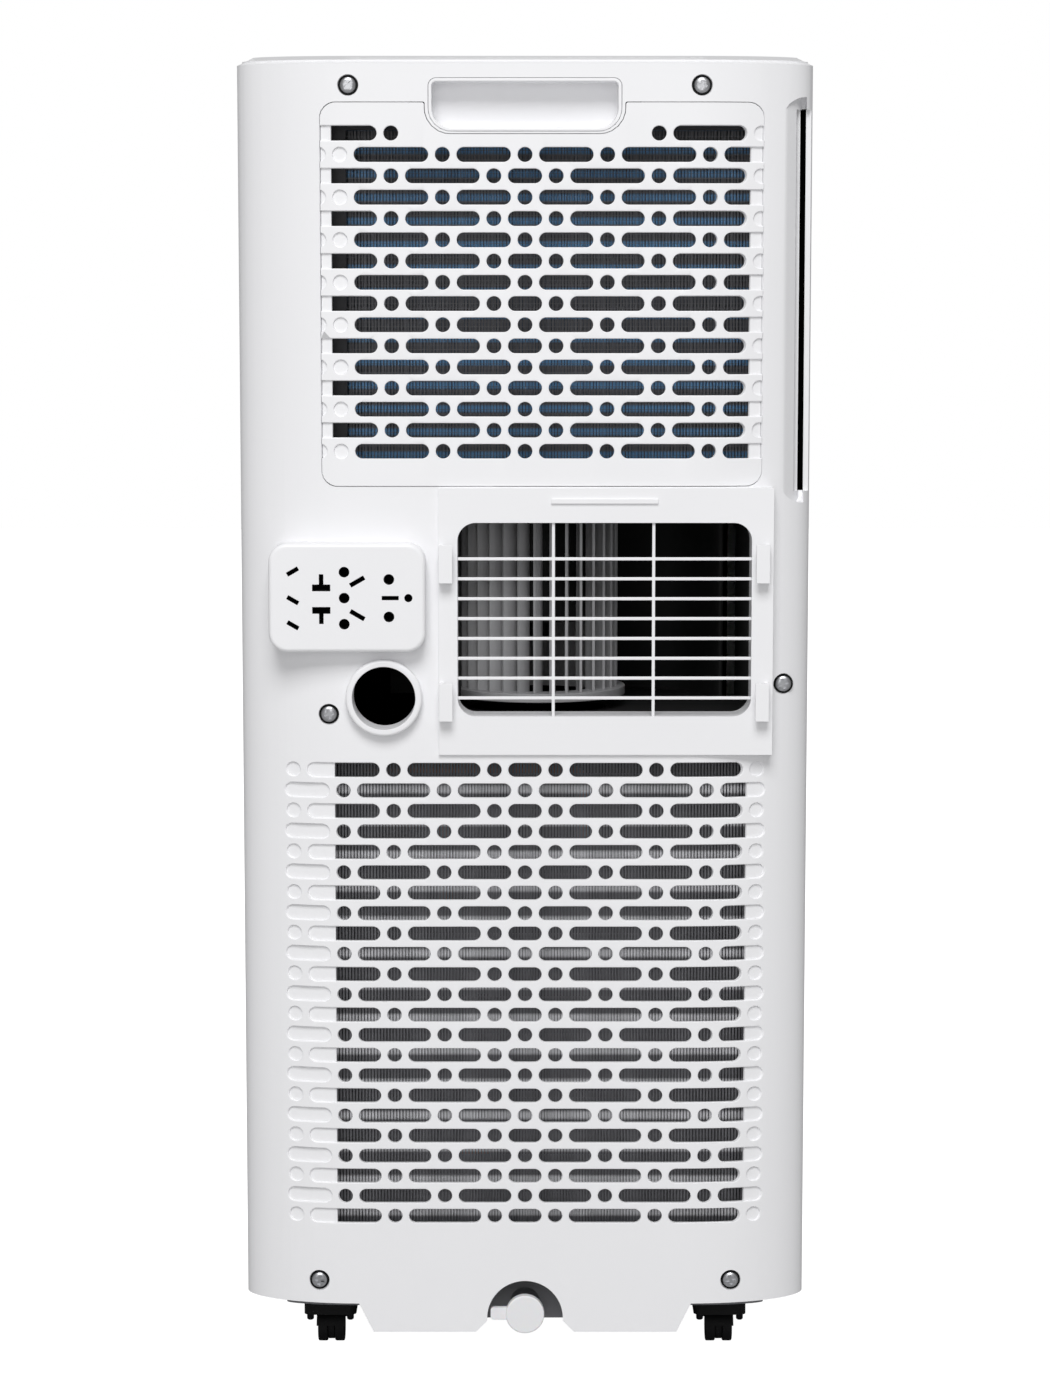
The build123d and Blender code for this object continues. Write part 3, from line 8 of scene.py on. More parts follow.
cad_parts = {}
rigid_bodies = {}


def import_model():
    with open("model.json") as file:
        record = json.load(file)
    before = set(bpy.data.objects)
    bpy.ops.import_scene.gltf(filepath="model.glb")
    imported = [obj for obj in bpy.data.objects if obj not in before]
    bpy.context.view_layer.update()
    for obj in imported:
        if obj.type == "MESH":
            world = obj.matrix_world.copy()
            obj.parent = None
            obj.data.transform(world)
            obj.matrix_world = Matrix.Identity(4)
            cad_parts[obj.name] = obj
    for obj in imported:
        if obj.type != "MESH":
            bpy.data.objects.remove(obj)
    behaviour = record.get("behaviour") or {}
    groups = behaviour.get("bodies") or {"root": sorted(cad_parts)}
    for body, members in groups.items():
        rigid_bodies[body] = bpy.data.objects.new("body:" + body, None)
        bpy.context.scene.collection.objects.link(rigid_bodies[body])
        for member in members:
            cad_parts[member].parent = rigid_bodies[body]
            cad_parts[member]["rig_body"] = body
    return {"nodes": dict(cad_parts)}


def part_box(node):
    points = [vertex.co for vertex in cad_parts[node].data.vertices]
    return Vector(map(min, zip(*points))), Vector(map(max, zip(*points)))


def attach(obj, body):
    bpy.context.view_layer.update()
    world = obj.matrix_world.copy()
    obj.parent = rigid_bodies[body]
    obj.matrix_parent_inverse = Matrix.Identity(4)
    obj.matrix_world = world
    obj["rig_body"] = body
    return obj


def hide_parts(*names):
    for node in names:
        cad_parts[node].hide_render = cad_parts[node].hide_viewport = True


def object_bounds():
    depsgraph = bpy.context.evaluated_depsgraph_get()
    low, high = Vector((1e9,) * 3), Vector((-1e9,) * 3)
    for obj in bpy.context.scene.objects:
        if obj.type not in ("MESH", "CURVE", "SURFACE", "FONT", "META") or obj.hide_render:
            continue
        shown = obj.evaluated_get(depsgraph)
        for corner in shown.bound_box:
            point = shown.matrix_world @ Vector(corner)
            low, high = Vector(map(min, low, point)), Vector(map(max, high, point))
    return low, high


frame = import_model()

MM = 0.001
cad_low, cad_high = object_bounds()


# ==== Base pan
# The tray under everything, an injection-moulded part. It holds the condensate, carries the
# casters and closes the drain arch from behind.

def add(tree, kind, inputs=(), **settings):
    """Adds one node. Its inputs are given by name or number, as a value, a socket or another node."""
    node = tree.nodes.new(kind)
    for name, value in settings.items():
        setattr(node, name, value)
    for key, value in dict(inputs).items():
        if isinstance(value, bpy.types.Node):
            value = value.outputs[0]
        if isinstance(value, bpy.types.NodeSocket):
            tree.links.new(value, node.inputs[key])
        else:
            node.inputs[key].default_value = value
    return node


def colour(code):
    """An sRGB hex colour as linear RGBA."""
    parts = [int(code[i:i + 2], 16) / 255 for i in (0, 2, 4)]
    linear = [p / 12.92 if p <= 0.04045 else ((p + 0.055) / 1.055) ** 2.4 for p in parts]
    return (*linear, 1.0)


def surface(name, code, shade, grain, depth, **sockets):
    """A moulded or cast finish: a base colour that drifts to shade, and a fine bump, sizes in mm."""
    material = bpy.data.materials.new(name)
    material.use_nodes = True
    tree = material.node_tree
    principled = tree.nodes["Principled BSDF"]
    for socket, value in sockets.items():
        principled.inputs[socket.replace("_", " ")].default_value = value
    place = add(tree, "ShaderNodeTexCoord").outputs["Object"]
    drift = add(tree, "ShaderNodeTexNoise", {"Vector": place, "Scale": 1 / (90 * MM), "Detail": 2.0})
    mix = add(tree, "ShaderNodeMix", {"Factor": drift, "A": colour(code), "B": colour(shade)}, data_type="RGBA")
    tree.links.new(mix.outputs["Result"], principled.inputs["Base Color"])
    fine = add(tree, "ShaderNodeTexNoise", {"Vector": place, "Scale": 1 / (grain * MM), "Detail": 3.0})
    bump = add(tree, "ShaderNodeBump", {"Height": fine, "Distance": depth * MM, "Strength": 0.6})
    tree.links.new(bump.outputs[0], principled.inputs["Normal"])
    return material


def meshed(name, work):
    """The working mesh as a finished one."""
    mesh = bpy.data.meshes.new(name)
    work.to_mesh(mesh)
    work.free()
    return mesh


def helper(name, mesh):
    """An object that only feeds a tree or a modifier, and is removed once that has run."""
    holder = bpy.data.objects.new(name, mesh)
    bpy.context.scene.collection.objects.link(holder)
    return holder


def smooth(mesh, angle=30.0):
    """Smooth shading, sharp where two faces meet at more than the angle, large faces kept truly flat."""
    mesh.shade_smooth()
    mesh.set_sharp_from_angle(angle=math.radians(angle))
    holder = helper("holder", mesh)
    weighted = holder.modifiers.new("flat", "WEIGHTED_NORMAL")
    weighted.keep_sharp = True
    even = bpy.data.meshes.new_from_object(holder.evaluated_get(bpy.context.evaluated_depsgraph_get()))
    bpy.data.objects.remove(holder)
    return even


def placed(name, mesh, body, slot, *nodes):
    """Puts a finished mesh into the scene on its body, in the place of the construction's nodes."""
    piece = bpy.data.objects.new(name, mesh)
    bpy.context.scene.collection.objects.link(piece)
    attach(piece, body)
    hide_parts(*nodes)
    return piece


def softened(node, radius, slot, material, segments=2, beyond=None):
    """The construction's own shape of a node, its sharp edges rounded, or only those behind y = beyond mm."""
    source = frame["nodes"][node]
    work = bmesh.new()
    work.from_mesh(source.data)
    bmesh.ops.remove_doubles(work, verts=work.verts, dist=0.002 * MM)
    bmesh.ops.dissolve_limit(work, angle_limit=math.radians(0.5), verts=work.verts, edges=work.edges)
    weight = work.edges.layers.float.new("bevel_weight_edge")
    for edge in work.edges:
        sharp = len(edge.link_faces) == 2 and edge.calc_face_angle() > math.radians(35)
        free = beyond is None or min(v.co.y for v in edge.verts) > beyond * MM
        edge[weight] = float(sharp and free)
    piece = helper(node, meshed(node, work))
    bevel = piece.modifiers.new("edge", "BEVEL")
    bevel.width = radius * MM
    bevel.segments = segments
    bevel.limit_method = "WEIGHT"
    bevel.use_clamp_overlap = True
    shown = bpy.data.meshes.new_from_object(piece.evaluated_get(bpy.context.evaluated_depsgraph_get()))
    bpy.data.objects.remove(piece)
    shown.materials.clear()
    shown.materials.append(material)
    shown = smooth(shown)
    return placed(f"{node}_moulded", shown, source["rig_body"], slot, node)


# Talc-filled polypropylene, as moulded: mid grey for the pan, dull, with a faint grain.
grey_polypropylene = surface("grey_polypropylene", "86868a", "7d7d81", 1.2, 0.05, Roughness=0.62, IOR=1.49)
softened("base_pan", 0.5, "dark_plastic", grey_polypropylene)


# ==== Casters
# Four twin-wheel casters of black nylon. Each has a square plate held by four small screws, a fork
# that swivels on a steel stem, and two treads on one axle.

def socket_of(tree, name):
    """The identifier of a tree's input, by its name."""
    return next(s.identifier for s in tree.interface.items_tree if s.name == name and s.in_out == "INPUT")


def grown(tree, name, body_mesh, **values):
    """Runs a Geometry Nodes tree on a mesh with the given inputs, and returns the result as a mesh."""
    carrier = bpy.data.objects.new(name, body_mesh)
    bpy.context.scene.collection.objects.link(carrier)
    modifier = carrier.modifiers.new(name, "NODES")
    modifier.node_group = tree
    for key, value in values.items():
        modifier[socket_of(tree, key.replace("_", " "))] = value
    result = bpy.data.meshes.new_from_object(carrier.evaluated_get(bpy.context.evaluated_depsgraph_get()))
    carrier.modifiers.remove(modifier)
    bpy.data.objects.remove(carrier)
    result.name = name
    return result


def tree_with(name, sockets):
    """A new Geometry Nodes tree with named inputs and one geometry output."""
    tree = bpy.data.node_groups.new(name, "GeometryNodeTree")
    for label, kind in sockets:
        tree.interface.new_socket(name=label, in_out="INPUT", socket_type=f"NodeSocket{kind}")
    tree.interface.new_socket(name="Geometry", in_out="OUTPUT", socket_type="NodeSocketGeometry")
    return tree, add(tree, "NodeGroupInput"), add(tree, "NodeGroupOutput")


def finished(tree, geometry, given, result):
    """Ends a tree: instances made real, the material set, and the geometry handed out."""
    solid = add(tree, "GeometryNodeRealizeInstances", {0: geometry})
    painted = add(tree, "GeometryNodeSetMaterial", {"Geometry": solid, "Material": given.outputs["Material"]})
    tree.links.new(painted.outputs[0], result.inputs[0])


def turned(name, profile, steps, axis="Z"):
    """A closed turned shape: (radius, height) points in mm, spun round an axis."""
    work = bmesh.new()
    rings = []
    for radius, height in profile:
        ring = []
        for i in range(steps):
            angle = 2 * math.pi * (i + 0.5) / steps
            place = Vector((radius * math.cos(angle), radius * math.sin(angle), height))
            ring.append(work.verts.new(place * MM))
        rings.append(ring)
    for low, high in zip(rings, rings[1:]):
        for i in range(steps):
            work.faces.new((low[i - 1], low[i], high[i], high[i - 1]))
    work.faces.new(reversed(rings[0]))
    work.faces.new(rings[-1])
    bmesh.ops.recalc_face_normals(work, faces=work.faces)
    if axis == "Y":
        bmesh.ops.transform(work, matrix=Matrix.Rotation(math.radians(-90), 4, "X"), verts=work.verts)
    return meshed(name, work)


def points_at(name, places):
    """A mesh of loose points at the given places, in mm."""
    mesh = bpy.data.meshes.new(name)
    mesh.from_pydata([Vector(place) * MM for place in places], [], [])
    return mesh


def screw_set():
    """Tree for a set of screws: one gets its cross recess and is put at each point, turned by chance."""
    tree, given, result = tree_with("screw_set", [
        ("Geometry", "Geometry"), ("Screw", "Object"), ("Recess size", "Vector"), ("Recess floor", "Vector"),
        ("Tilt", "Vector"), ("Spin axis", "Vector"), ("Material", "Material")])
    screw = add(tree, "GeometryNodeObjectInfo", {"Object": given.outputs["Screw"]})
    bar = add(tree, "GeometryNodeMeshCube", {"Size": given.outputs["Recess size"]})
    bar = add(tree, "GeometryNodeTransform", {"Geometry": bar, "Translation": given.outputs["Recess floor"]})
    crossed = add(tree, "GeometryNodeTransform", {"Geometry": bar, "Rotation": (0, 0, math.pi / 2)})
    cut = add(tree, "GeometryNodeMeshBoolean", {"Mesh 1": screw.outputs["Geometry"]}, operation="DIFFERENCE",
              solver="MANIFOLD")
    tree.links.new(bar.outputs[0], cut.inputs["Mesh 2"])
    tree.links.new(crossed.outputs[0], cut.inputs["Mesh 2"])
    chance = add(tree, "FunctionNodeRandomValue", {"Min": 0.0, "Max": math.pi, "Seed": 7}, data_type="FLOAT")
    spin = add(tree, "ShaderNodeVectorMath", {0: given.outputs["Spin axis"], "Scale": chance.outputs["Value"]},
               operation="SCALE")
    turn = add(tree, "ShaderNodeVectorMath", {0: spin, 1: given.outputs["Tilt"]}, operation="ADD")
    screws = add(tree, "GeometryNodeInstanceOnPoints", {"Points": given, "Instance": cut, "Rotation": turn})
    finished(tree, screws, given, result)
    return tree


glass_filled_nylon = surface("glass_filled_nylon", "0b0b0c", "101011", 0.8, 0.06, Roughness=0.65,
                             Specular_IOR_Level=0.2)
zinc_plated_steel = surface("zinc_plated_steel", "c4c5c8", "a8a9ac", 0.6, 0.02, Roughness=0.34, Metallic=1.0)
black_oxide_steel = surface("black_oxide_steel", "18181a", "242426", 0.6, 0.02, Roughness=0.42, Metallic=1.0)
softened("caster_plates", 0.5, "black_plastic", glass_filled_nylon)
for corner in ("rear_left", "rear_right", "front_left", "front_right"):
    softened(f"caster_fork_{corner}", 0.35, "black_plastic", glass_filled_nylon)
    softened(f"caster_wheel_{corner}", 0.8, "black_plastic", glass_filled_nylon)

screw_tree = screw_set()
plate_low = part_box("caster_plates")[0] / MM
screw_low, screw_high = (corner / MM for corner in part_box("caster_screws"))
SCREW_INSET = 1.9            # head radius, so the screws' centres lie this far inside their box
CASTER_PITCH = 21.6
seats = [(x, y, plate_low.z) for y0 in (screw_low.y + SCREW_INSET, screw_high.y - SCREW_INSET - CASTER_PITCH)
         for x0 in (screw_low.x + SCREW_INSET, screw_high.x - SCREW_INSET - CASTER_PITCH)
         for x in (x0, x0 + CASTER_PITCH) for y in (y0, y0 + CASTER_PITCH)]
caster_screw = helper("caster_screw", turned("caster_screw", [
    (0.5, -5.9), (1.2, -5.2), (1.25, 0.0), (1.9, 0.0), (1.9, 2.4), (1.75, 2.9), (1.3, 3.3)], 24))
screws = grown(screw_tree, "caster_screws_set", points_at("caster_screw_seats", seats), Screw=caster_screw,
               Recess_size=(2.2 * MM, 0.5 * MM, 2.4 * MM), Recess_floor=(0.0, 0.0, 3.4 * MM),
               Tilt=(math.pi, 0.0, 0.0), Spin_axis=(0.0, 0.0, 1.0), Material=black_oxide_steel)
placed("caster_screws_set", smooth(screws), "case", "screw_steel", "caster_screws")


# ==== Drain plug
# White silicone stopper pressed into the drain spout, with a tab to pull it by. Silicone takes a
# soft sheen and shows no grain.

silicone = surface("white_silicone", "f0f0f2", "ececee", 3.0, 0.01, Roughness=0.5, IOR=1.41,
                   Subsurface_Weight=0.1, Subsurface_Scale=2 * MM)
softened("drain_cap", 0.4, "cap_rubber", silicone)


# ==== Compressor circuit
# Rotary compressor and accumulator in black stoved enamel on rubber feet, joined by drawn copper
# pipes brazed at their ends. The enamel is slightly pebbled, and the copper has dulled brown.

def dressed(material, *nodes):
    """Gives construction pieces that keep their own shape their finish."""
    for node in nodes:
        frame["nodes"][node].data.materials.clear()
        frame["nodes"][node].data.materials.append(material)


stoved_enamel = surface("black_stoved_enamel", "1c1c1e", "161617", 2.0, 0.05, Roughness=0.35, IOR=1.5)
drawn_copper = surface("drawn_copper", "b87352", "8f5136", 6.0, 0.01, Roughness=0.32, Metallic=1.0)
epdm_rubber = surface("epdm_rubber", "202020", "1a1a1a", 1.5, 0.05, Roughness=0.8, IOR=1.52)
dressed(stoved_enamel, "compressor", "accumulator")
dressed(drawn_copper, "refrigerant_pipes", "filter_drier")
dressed(epdm_rubber, "compressor_feet")


# ==== Heat exchangers
# Aluminium fins pressed on copper tubes, about fifteen fins to the inch. The cold one has a blue
# coating that lets water run off. Both packs are painted darker than bare fins, as painted shade for
# the depth of the case, and a band along each tube row is a painted highlight where light catches the tubes.

def fin_row():
    """Tree for a row of equal thin plates or rods, set out along a line."""
    tree, given, result = tree_with("fin_row", [
        ("Geometry", "Geometry"), ("Fin size", "Vector"), ("Fin count", "Int"), ("First fin", "Vector"),
        ("Fin pitch", "Vector"), ("Material", "Material")])
    places = add(tree, "GeometryNodeMeshLine", {
        "Count": given.outputs["Fin count"], "Start Location": given.outputs["First fin"],
        "Offset": given.outputs["Fin pitch"]})
    fin = add(tree, "GeometryNodeMeshCube", {"Size": given.outputs["Fin size"]})
    fins = add(tree, "GeometryNodeInstanceOnPoints", {"Points": places, "Instance": fin})
    finished(tree, fins, given, result)
    return tree


def joined(name, meshes):
    """Several closed meshes in one."""
    work = bmesh.new()
    for mesh in meshes:
        work.from_mesh(mesh)
    return meshed(name, work)


def fins_with_painted_highlights(name, code, highlight_code, first, pitch, width, roughness):
    """Fin sheet with a painted highlight band at each tube row, heights in mm."""
    material = surface(name, code, code, 1.0, 0.01, Roughness=roughness)
    tree = material.node_tree
    place = add(tree, "ShaderNodeTexCoord").outputs["Object"]
    height = add(tree, "ShaderNodeSeparateXYZ", {0: place}).outputs["Z"]
    steps = add(tree, "ShaderNodeMath", {0: height, 1: first * MM}, operation="SUBTRACT")
    turn = add(tree, "ShaderNodeMath", {0: steps, 1: 2 * math.pi / (pitch * MM)}, operation="MULTIPLY")
    wave = add(tree, "ShaderNodeMath", {0: turn}, operation="COSINE")
    edge = math.cos(math.pi * width / pitch)
    band = add(tree, "ShaderNodeMapRange", {"Value": wave, "From Min": edge, "From Max": 1.0},
               interpolation_type="SMOOTHSTEP")
    mix = add(tree, "ShaderNodeMix", {"Factor": band.outputs[0], "A": colour(code), "B": colour(highlight_code)},
              data_type="RGBA")
    tree.links.new(mix.outputs["Result"], tree.nodes["Principled BSDF"].inputs["Base Color"])
    return material


def within(name, coat, node):
    """Copper that is bare in the end bends and carries the pack's dark coat between the fins."""
    material = surface(name, coat, coat, 6.0, 0.01, Roughness=0.5)
    tree = material.node_tree
    principled = tree.nodes["Principled BSDF"]
    low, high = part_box(node)
    place = add(tree, "ShaderNodeTexCoord").outputs["Object"]
    along = add(tree, "ShaderNodeSeparateXYZ", {0: place}).outputs["X"]
    off = add(tree, "ShaderNodeMath", {0: along, 1: (low.x + high.x) / 2}, operation="SUBTRACT")
    reach = add(tree, "ShaderNodeMath", {0: off}, operation="ABSOLUTE")
    bare = add(tree, "ShaderNodeMath", {0: reach, 1: (high.x - low.x) / 2 + 6 * MM}, operation="GREATER_THAN")
    mix = add(tree, "ShaderNodeMix", {"Factor": bare, "A": colour(coat), "B": colour("b87352")},
              data_type="RGBA")
    tree.links.new(mix.outputs["Result"], principled.inputs["Base Color"])
    tree.links.new(bare.outputs[0], principled.inputs["Metallic"])
    return material


fin_tree = fin_row()
FIN_PITCH = 1.7
FIN_THICK = 0.25             # four times the real foil, which would be too thin to draw
FOLD = 1.35                  # the foil is folded over along its rear edge
FOLD_DEEP = 0.6
PAST = 6.0                   # the sheets reach this far past the outer tubes, upwards and to the right
# Base colours are painted shade, darker than the fins' own finish. Band colours are painted highlights; the
# cold pack's band is blue from its real coating.
for name, fins_node, coat, first, pitch, sheet in (
        ("evaporator", "evaporator_fins", "2c4456", 488.4, 12.7, fins_with_painted_highlights(
            "blue_fins_painted_shade_and_highlights", "5e5e62", "6aa2d4", 483.26, 12.26, 5.2, 0.45)),
        ("condenser", "condenser_fins", "4a4a4c", 83.0, 17.4, fins_with_painted_highlights(
            "aluminium_fins_painted_shade_and_highlights", "717175", "e4e4e8", 77.66, 17.65, 6.0, 0.5))):
    low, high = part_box(fins_node)
    bottom, top = (first - 0.7 * pitch) * MM, high.z + PAST * MM
    left, right = low.x - 5 * MM, high.x + PAST * MM
    count = int((right - left) / (FIN_PITCH * MM)) + 1
    middle = (low.y + high.y) / 2
    sheets = []
    for x0, x1, thick, y0, y1, z0, z1, number in (
            (left, right, FIN_THICK, low.y, high.y, bottom, top, count),
            (left, right, FOLD, high.y - FOLD_DEEP * MM, high.y, bottom, top, count),
            (low.x, high.x, FIN_THICK, (low.y + middle) / 2, (high.y + middle) / 2, low.z, bottom, 2)):
        sheets.append(grown(
            fin_tree, f"{name}_fins", bpy.data.meshes.new(name), Fin_count=number,
            Fin_size=(thick * MM, y1 - y0, z1 - z0),
            First_fin=(x0 + thick / 2 * MM, (y0 + y1) / 2, (z0 + z1) / 2),
            Fin_pitch=((x1 - x0 - thick * MM) / (number - 1), 0.0, 0.0), Material=sheet))
    fins = joined(f"{name}_fin_pack", sheets)
    fins.materials.append(sheet)
    placed(f"{name}_fin_pack", fins, "case", "fin_aluminium", fins_node)
    dressed(within(f"{name}_tube_copper", coat, fins_node), f"{name}_tubes")


# ==== Exhaust blower
# Centrifugal wheel in a spiral housing that blows the hot air out at the back. Forward-curved
# blades are moulded with the ring below them, in grey, and welded to a black cupped plate above.

def blade_wheel():
    """Tree for a blower wheel about Z: curved blades set round a circle and joined to the turned rings."""
    tree, given, result = tree_with("blade_wheel", [
        ("Geometry", "Geometry"), ("Blade count", "Int"), ("Blade root", "Vector"), ("Blade belly", "Vector"),
        ("Blade tip", "Vector"), ("Blade thickness", "Float"), ("Blade height", "Float"),
        ("Material", "Material")])
    path = add(tree, "GeometryNodeCurveQuadraticBezier", {
        "Resolution": 8, "Start": given.outputs["Blade root"], "Middle": given.outputs["Blade belly"],
        "End": given.outputs["Blade tip"]})
    upright = add(tree, "GeometryNodeSetCurveNormal", {"Curve": path}, mode="Z_UP")
    section = add(tree, "GeometryNodeCurvePrimitiveQuadrilateral", {
        "Width": given.outputs["Blade thickness"], "Height": given.outputs["Blade height"]})
    blade = add(tree, "GeometryNodeCurveToMesh", {
        "Curve": upright, "Profile Curve": section, "Fill Caps": True})
    hub = add(tree, "GeometryNodeMeshLine", {"Count": given.outputs["Blade count"], "Offset": (0.0, 0.0, 0.0)})
    index = add(tree, "GeometryNodeInputIndex")
    share = add(tree, "ShaderNodeMath", {0: index, 1: given.outputs["Blade count"]}, operation="DIVIDE")
    angle = add(tree, "ShaderNodeMath", {0: share, 1: 2 * math.pi}, operation="MULTIPLY")
    turn = add(tree, "ShaderNodeCombineXYZ", {2: angle})
    blades = add(tree, "GeometryNodeInstanceOnPoints", {"Points": hub, "Instance": blade, "Rotation": turn})
    whole = add(tree, "GeometryNodeJoinGeometry", {0: blades})
    tree.links.new(given.outputs["Geometry"], whole.inputs[0])
    finished(tree, whole, given, result)
    return tree


def spun(name, profile, lift, material):
    """A closed section of (radius, height) points in mm swept round Z, lowered by lift."""
    steps = 96
    work = bmesh.new()
    turns = [2 * math.pi * i / steps for i in range(steps)]
    loops = [[work.verts.new(Vector((r * math.cos(t), r * math.sin(t), z - lift)) * MM) for t in turns]
             for r, z in profile]
    for a, b in zip(loops, loops[1:] + loops[:1]):
        for i in range(steps):
            work.faces.new((a[i - 1], a[i], b[i], b[i - 1]))
    bmesh.ops.recalc_face_normals(work, faces=work.faces)
    mesh = meshed(name, work)
    mesh.materials.append(material)
    return mesh


def wheel_mesh(name, radius, blade_r, count, sense, height, hub_depth, cup_r, bore, matrix):
    """One wheel in mm: its ring and cupped back plate turned, its blades grown leaning to one side."""
    inner = blade_r - 9.0
    blade = height - 1.5 - 4.0
    lift = 4.0 + blade / 2
    cup = height - hub_depth
    ring = [(radius, 0.3), (radius, 4.4), (radius - 0.3, 4.7), (inner + 0.3, 4.7), (inner, 4.4), (inner, 0.3),
            (inner + 0.3, 0.0), (radius - 0.3, 0.0)]
    back = [(radius, height - 2), (radius, height), (cup_r, height), (cup_r - 0.6, cup), (bore, cup),
            (bore, cup - 12), (bore + 3, cup - 12), (bore + 3, cup - 2), (cup_r, cup - 2), (cup_r, height - 2)]
    grey = grown(wheel_tree, name, spun("ring", ring, lift, glass_filled_san), Blade_count=count,
                 Blade_root=(inner * MM, 0.0, 0.0), Blade_belly=((inner + 4.0) * MM, sense * 0.6 * MM, 0.0),
                 Blade_tip=((blade_r - 0.6) * MM, sense * 4.2 * MM, 0.0), Blade_thickness=1.4 * MM,
                 Blade_height=blade * MM, Material=glass_filled_san)
    work = bmesh.new()
    work.from_mesh(grey)
    first = len(work.faces)
    work.from_mesh(spun("back", back, lift, glass_filled_nylon))
    work.faces.ensure_lookup_table()
    for face in work.faces[first:]:
        face.material_index = 1
    mesh = meshed(name, work)
    mesh.materials.append(glass_filled_san)
    mesh.materials.append(glass_filled_nylon)
    mesh.transform(matrix @ Matrix.Translation((0, 0, lift * MM)))
    return smooth(mesh)


wheel_tree = blade_wheel()
glass_filled_san = surface("glass_filled_san", "a8a8aa", "969698", 2.0, 0.03, Roughness=0.45, IOR=1.57)
bright_shaft_steel = surface("bright_shaft_steel", "b4b5b8", "9fa0a3", 3.0, 0.01, Roughness=0.22, Metallic=1.0)
japanned_steel = surface("japanned_steel", "2b2b2d", "232325", 1.5, 0.04, Roughness=0.4, IOR=1.5)
low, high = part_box("exhaust_wheel")
exhaust_wheel = wheel_mesh(
    "exhaust_wheel_bladed", 47.5, 43.4, 31, -1, (high.z - low.z) / MM, 56.0, 33.0, 3.0,
    Matrix.Translation(((low.x + high.x) / 2, (low.y + high.y) / 2, low.z)))
placed("exhaust_wheel_bladed", exhaust_wheel, "exhaust_wheel", "wheel_plastic", "exhaust_wheel")
# Talc-filled polypropylene with carbon black, as moulded: nearly black and dull.
dark_polypropylene = surface("dark_polypropylene", "161617", "121213", 1.2, 0.05, Roughness=0.7, IOR=1.49)
softened("exhaust_scroll", 0.4, "dark_plastic", dark_polypropylene)
dressed(bright_shaft_steel, "exhaust_shaft")
softened("exhaust_motor", 1.0, "motor_steel", japanned_steel)


# ==== Electrical box
# Black-passivated sheet-steel box under the deck at the front, with the main circuit board and the
# compressor's run capacitor inside.

black_zinc_steel = surface("black_passivated_zinc_steel", "1c1d1f", "17181a", 7.0, 0.02, Roughness=0.5)
solder_mask = surface("green_solder_mask", "1f5a34", "1a4a2b", 4.0, 0.05, Roughness=0.3, IOR=1.5)
drawn_aluminium = surface("drawn_aluminium", "c4c6c8", "b2b4b6", 2.0, 0.01, Roughness=0.28, Metallic=1.0)
softened("control_box", 0.3, "box_steel", black_zinc_steel)
softened("main_board", 0.2, "board_green", solder_mask)
softened("run_capacitor", 0.5, "capacitor_aluminium", drawn_aluminium)


# ==== Deck and cold blower
# The deck parts the hot side from the cold one, with the drip tray moulded on. A wheel like the
# lower one draws room air through the evaporator, its motor on the front of the drum.

softened("middle_deck", 0.5, "dark_plastic", dark_polypropylene)
softened("cold_scroll", 0.5, "dark_plastic", dark_polypropylene)
low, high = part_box("cold_wheel")
cold_wheel = wheel_mesh(
    "cold_wheel_bladed", 62.0, 59.0, 36, 1, (high.y - low.y) / MM, 18.0, 34.0, 4.0,
    Matrix.Translation(((low.x + high.x) / 2, high.y, (low.z + high.z) / 2))
    @ Matrix.Rotation(math.pi / 2, 4, "X"))
placed("cold_wheel_bladed", cold_wheel, "cold_wheel", "wheel_plastic", "cold_wheel")
dressed(bright_shaft_steel, "cold_shaft")
softened("cold_motor", 0.8, "motor_steel", japanned_steel)


# ==== Outlet duct and flap
# White ABS channel to the front outlet with fixed upright vanes. The flap turns on pins in the
# duct's ears, and a small geared motor in a steel can drives it.

# Satin ABS, injection moulded in a spark-eroded tool: white, faintly cool, with a soft broad
# highlight and a grain too fine to see beyond arm's length, drawn here at half a millimetre.
white_abs = surface("satin_white_abs", "f4f4f6", "f1f1f3", 0.5, 0.012, Roughness=0.42, IOR=1.54)
softened("air_duct", 0.4, "white_case", white_abs)
softened("guide_vanes", 0.3, "white_case", white_abs)
softened("outlet_flap", 0.5, "white_case", white_abs)
softened("swing_motor", 0.4, "motor_steel", bright_shaft_steel)


# ==== Air filter
# Polypropylene frame that slides out at the side, with a nylon dust mesh of fine threads moulded
# into it. It runs in a dark housing between the grille and the evaporator.

filter_polypropylene = surface("grey_filter_polypropylene", "3a3a3d", "333336", 1.2, 0.05, Roughness=0.6,
                               IOR=1.49)
nylon_thread = surface("nylon_thread", "6a6a6e", "5c5c60", 0.6, 0.02, Roughness=0.45, IOR=1.53)
softened("filter_housing", 0.4, "dark_plastic", dark_polypropylene)
softened("filter_frame", 0.4, "filter_plastic", filter_polypropylene)
THREAD = 0.2
THREAD_PITCH = 2.4           # wider than the real weave, which would be too fine to show
low, high = (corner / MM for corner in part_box("filter_mesh"))
middle = (low + high) / 2
width, height = high.x - low.x, high.z - low.z
threads = []
for size, first, step, run in (
        ((THREAD, THREAD, height), (low.x + 1, middle.y + THREAD / 2, middle.z), (THREAD_PITCH, 0, 0), width),
        ((width, THREAD, THREAD), (middle.x, middle.y - THREAD / 2, low.z + 1), (0, 0, THREAD_PITCH), height)):
    threads.append(grown(
        fin_tree, "threads", bpy.data.meshes.new("threads"), Fin_size=tuple(v * MM for v in size),
        Fin_count=int(run / THREAD_PITCH), First_fin=tuple(v * MM for v in first),
        Fin_pitch=tuple(v * MM for v in step), Material=nylon_thread))
thread_mesh = joined("filter_threads", threads)
thread_mesh.materials.append(nylon_thread)
placed("filter_threads", thread_mesh, "filter", "mesh_fabric", "filter_mesh")


# ==== Front shell
# Half of the case, one white ABS moulding with the outlet in its face. It meets the rear shell in
# a tongue-and-groove seam down each side.

front = softened("front_shell", 0.6, "white_case", white_abs)
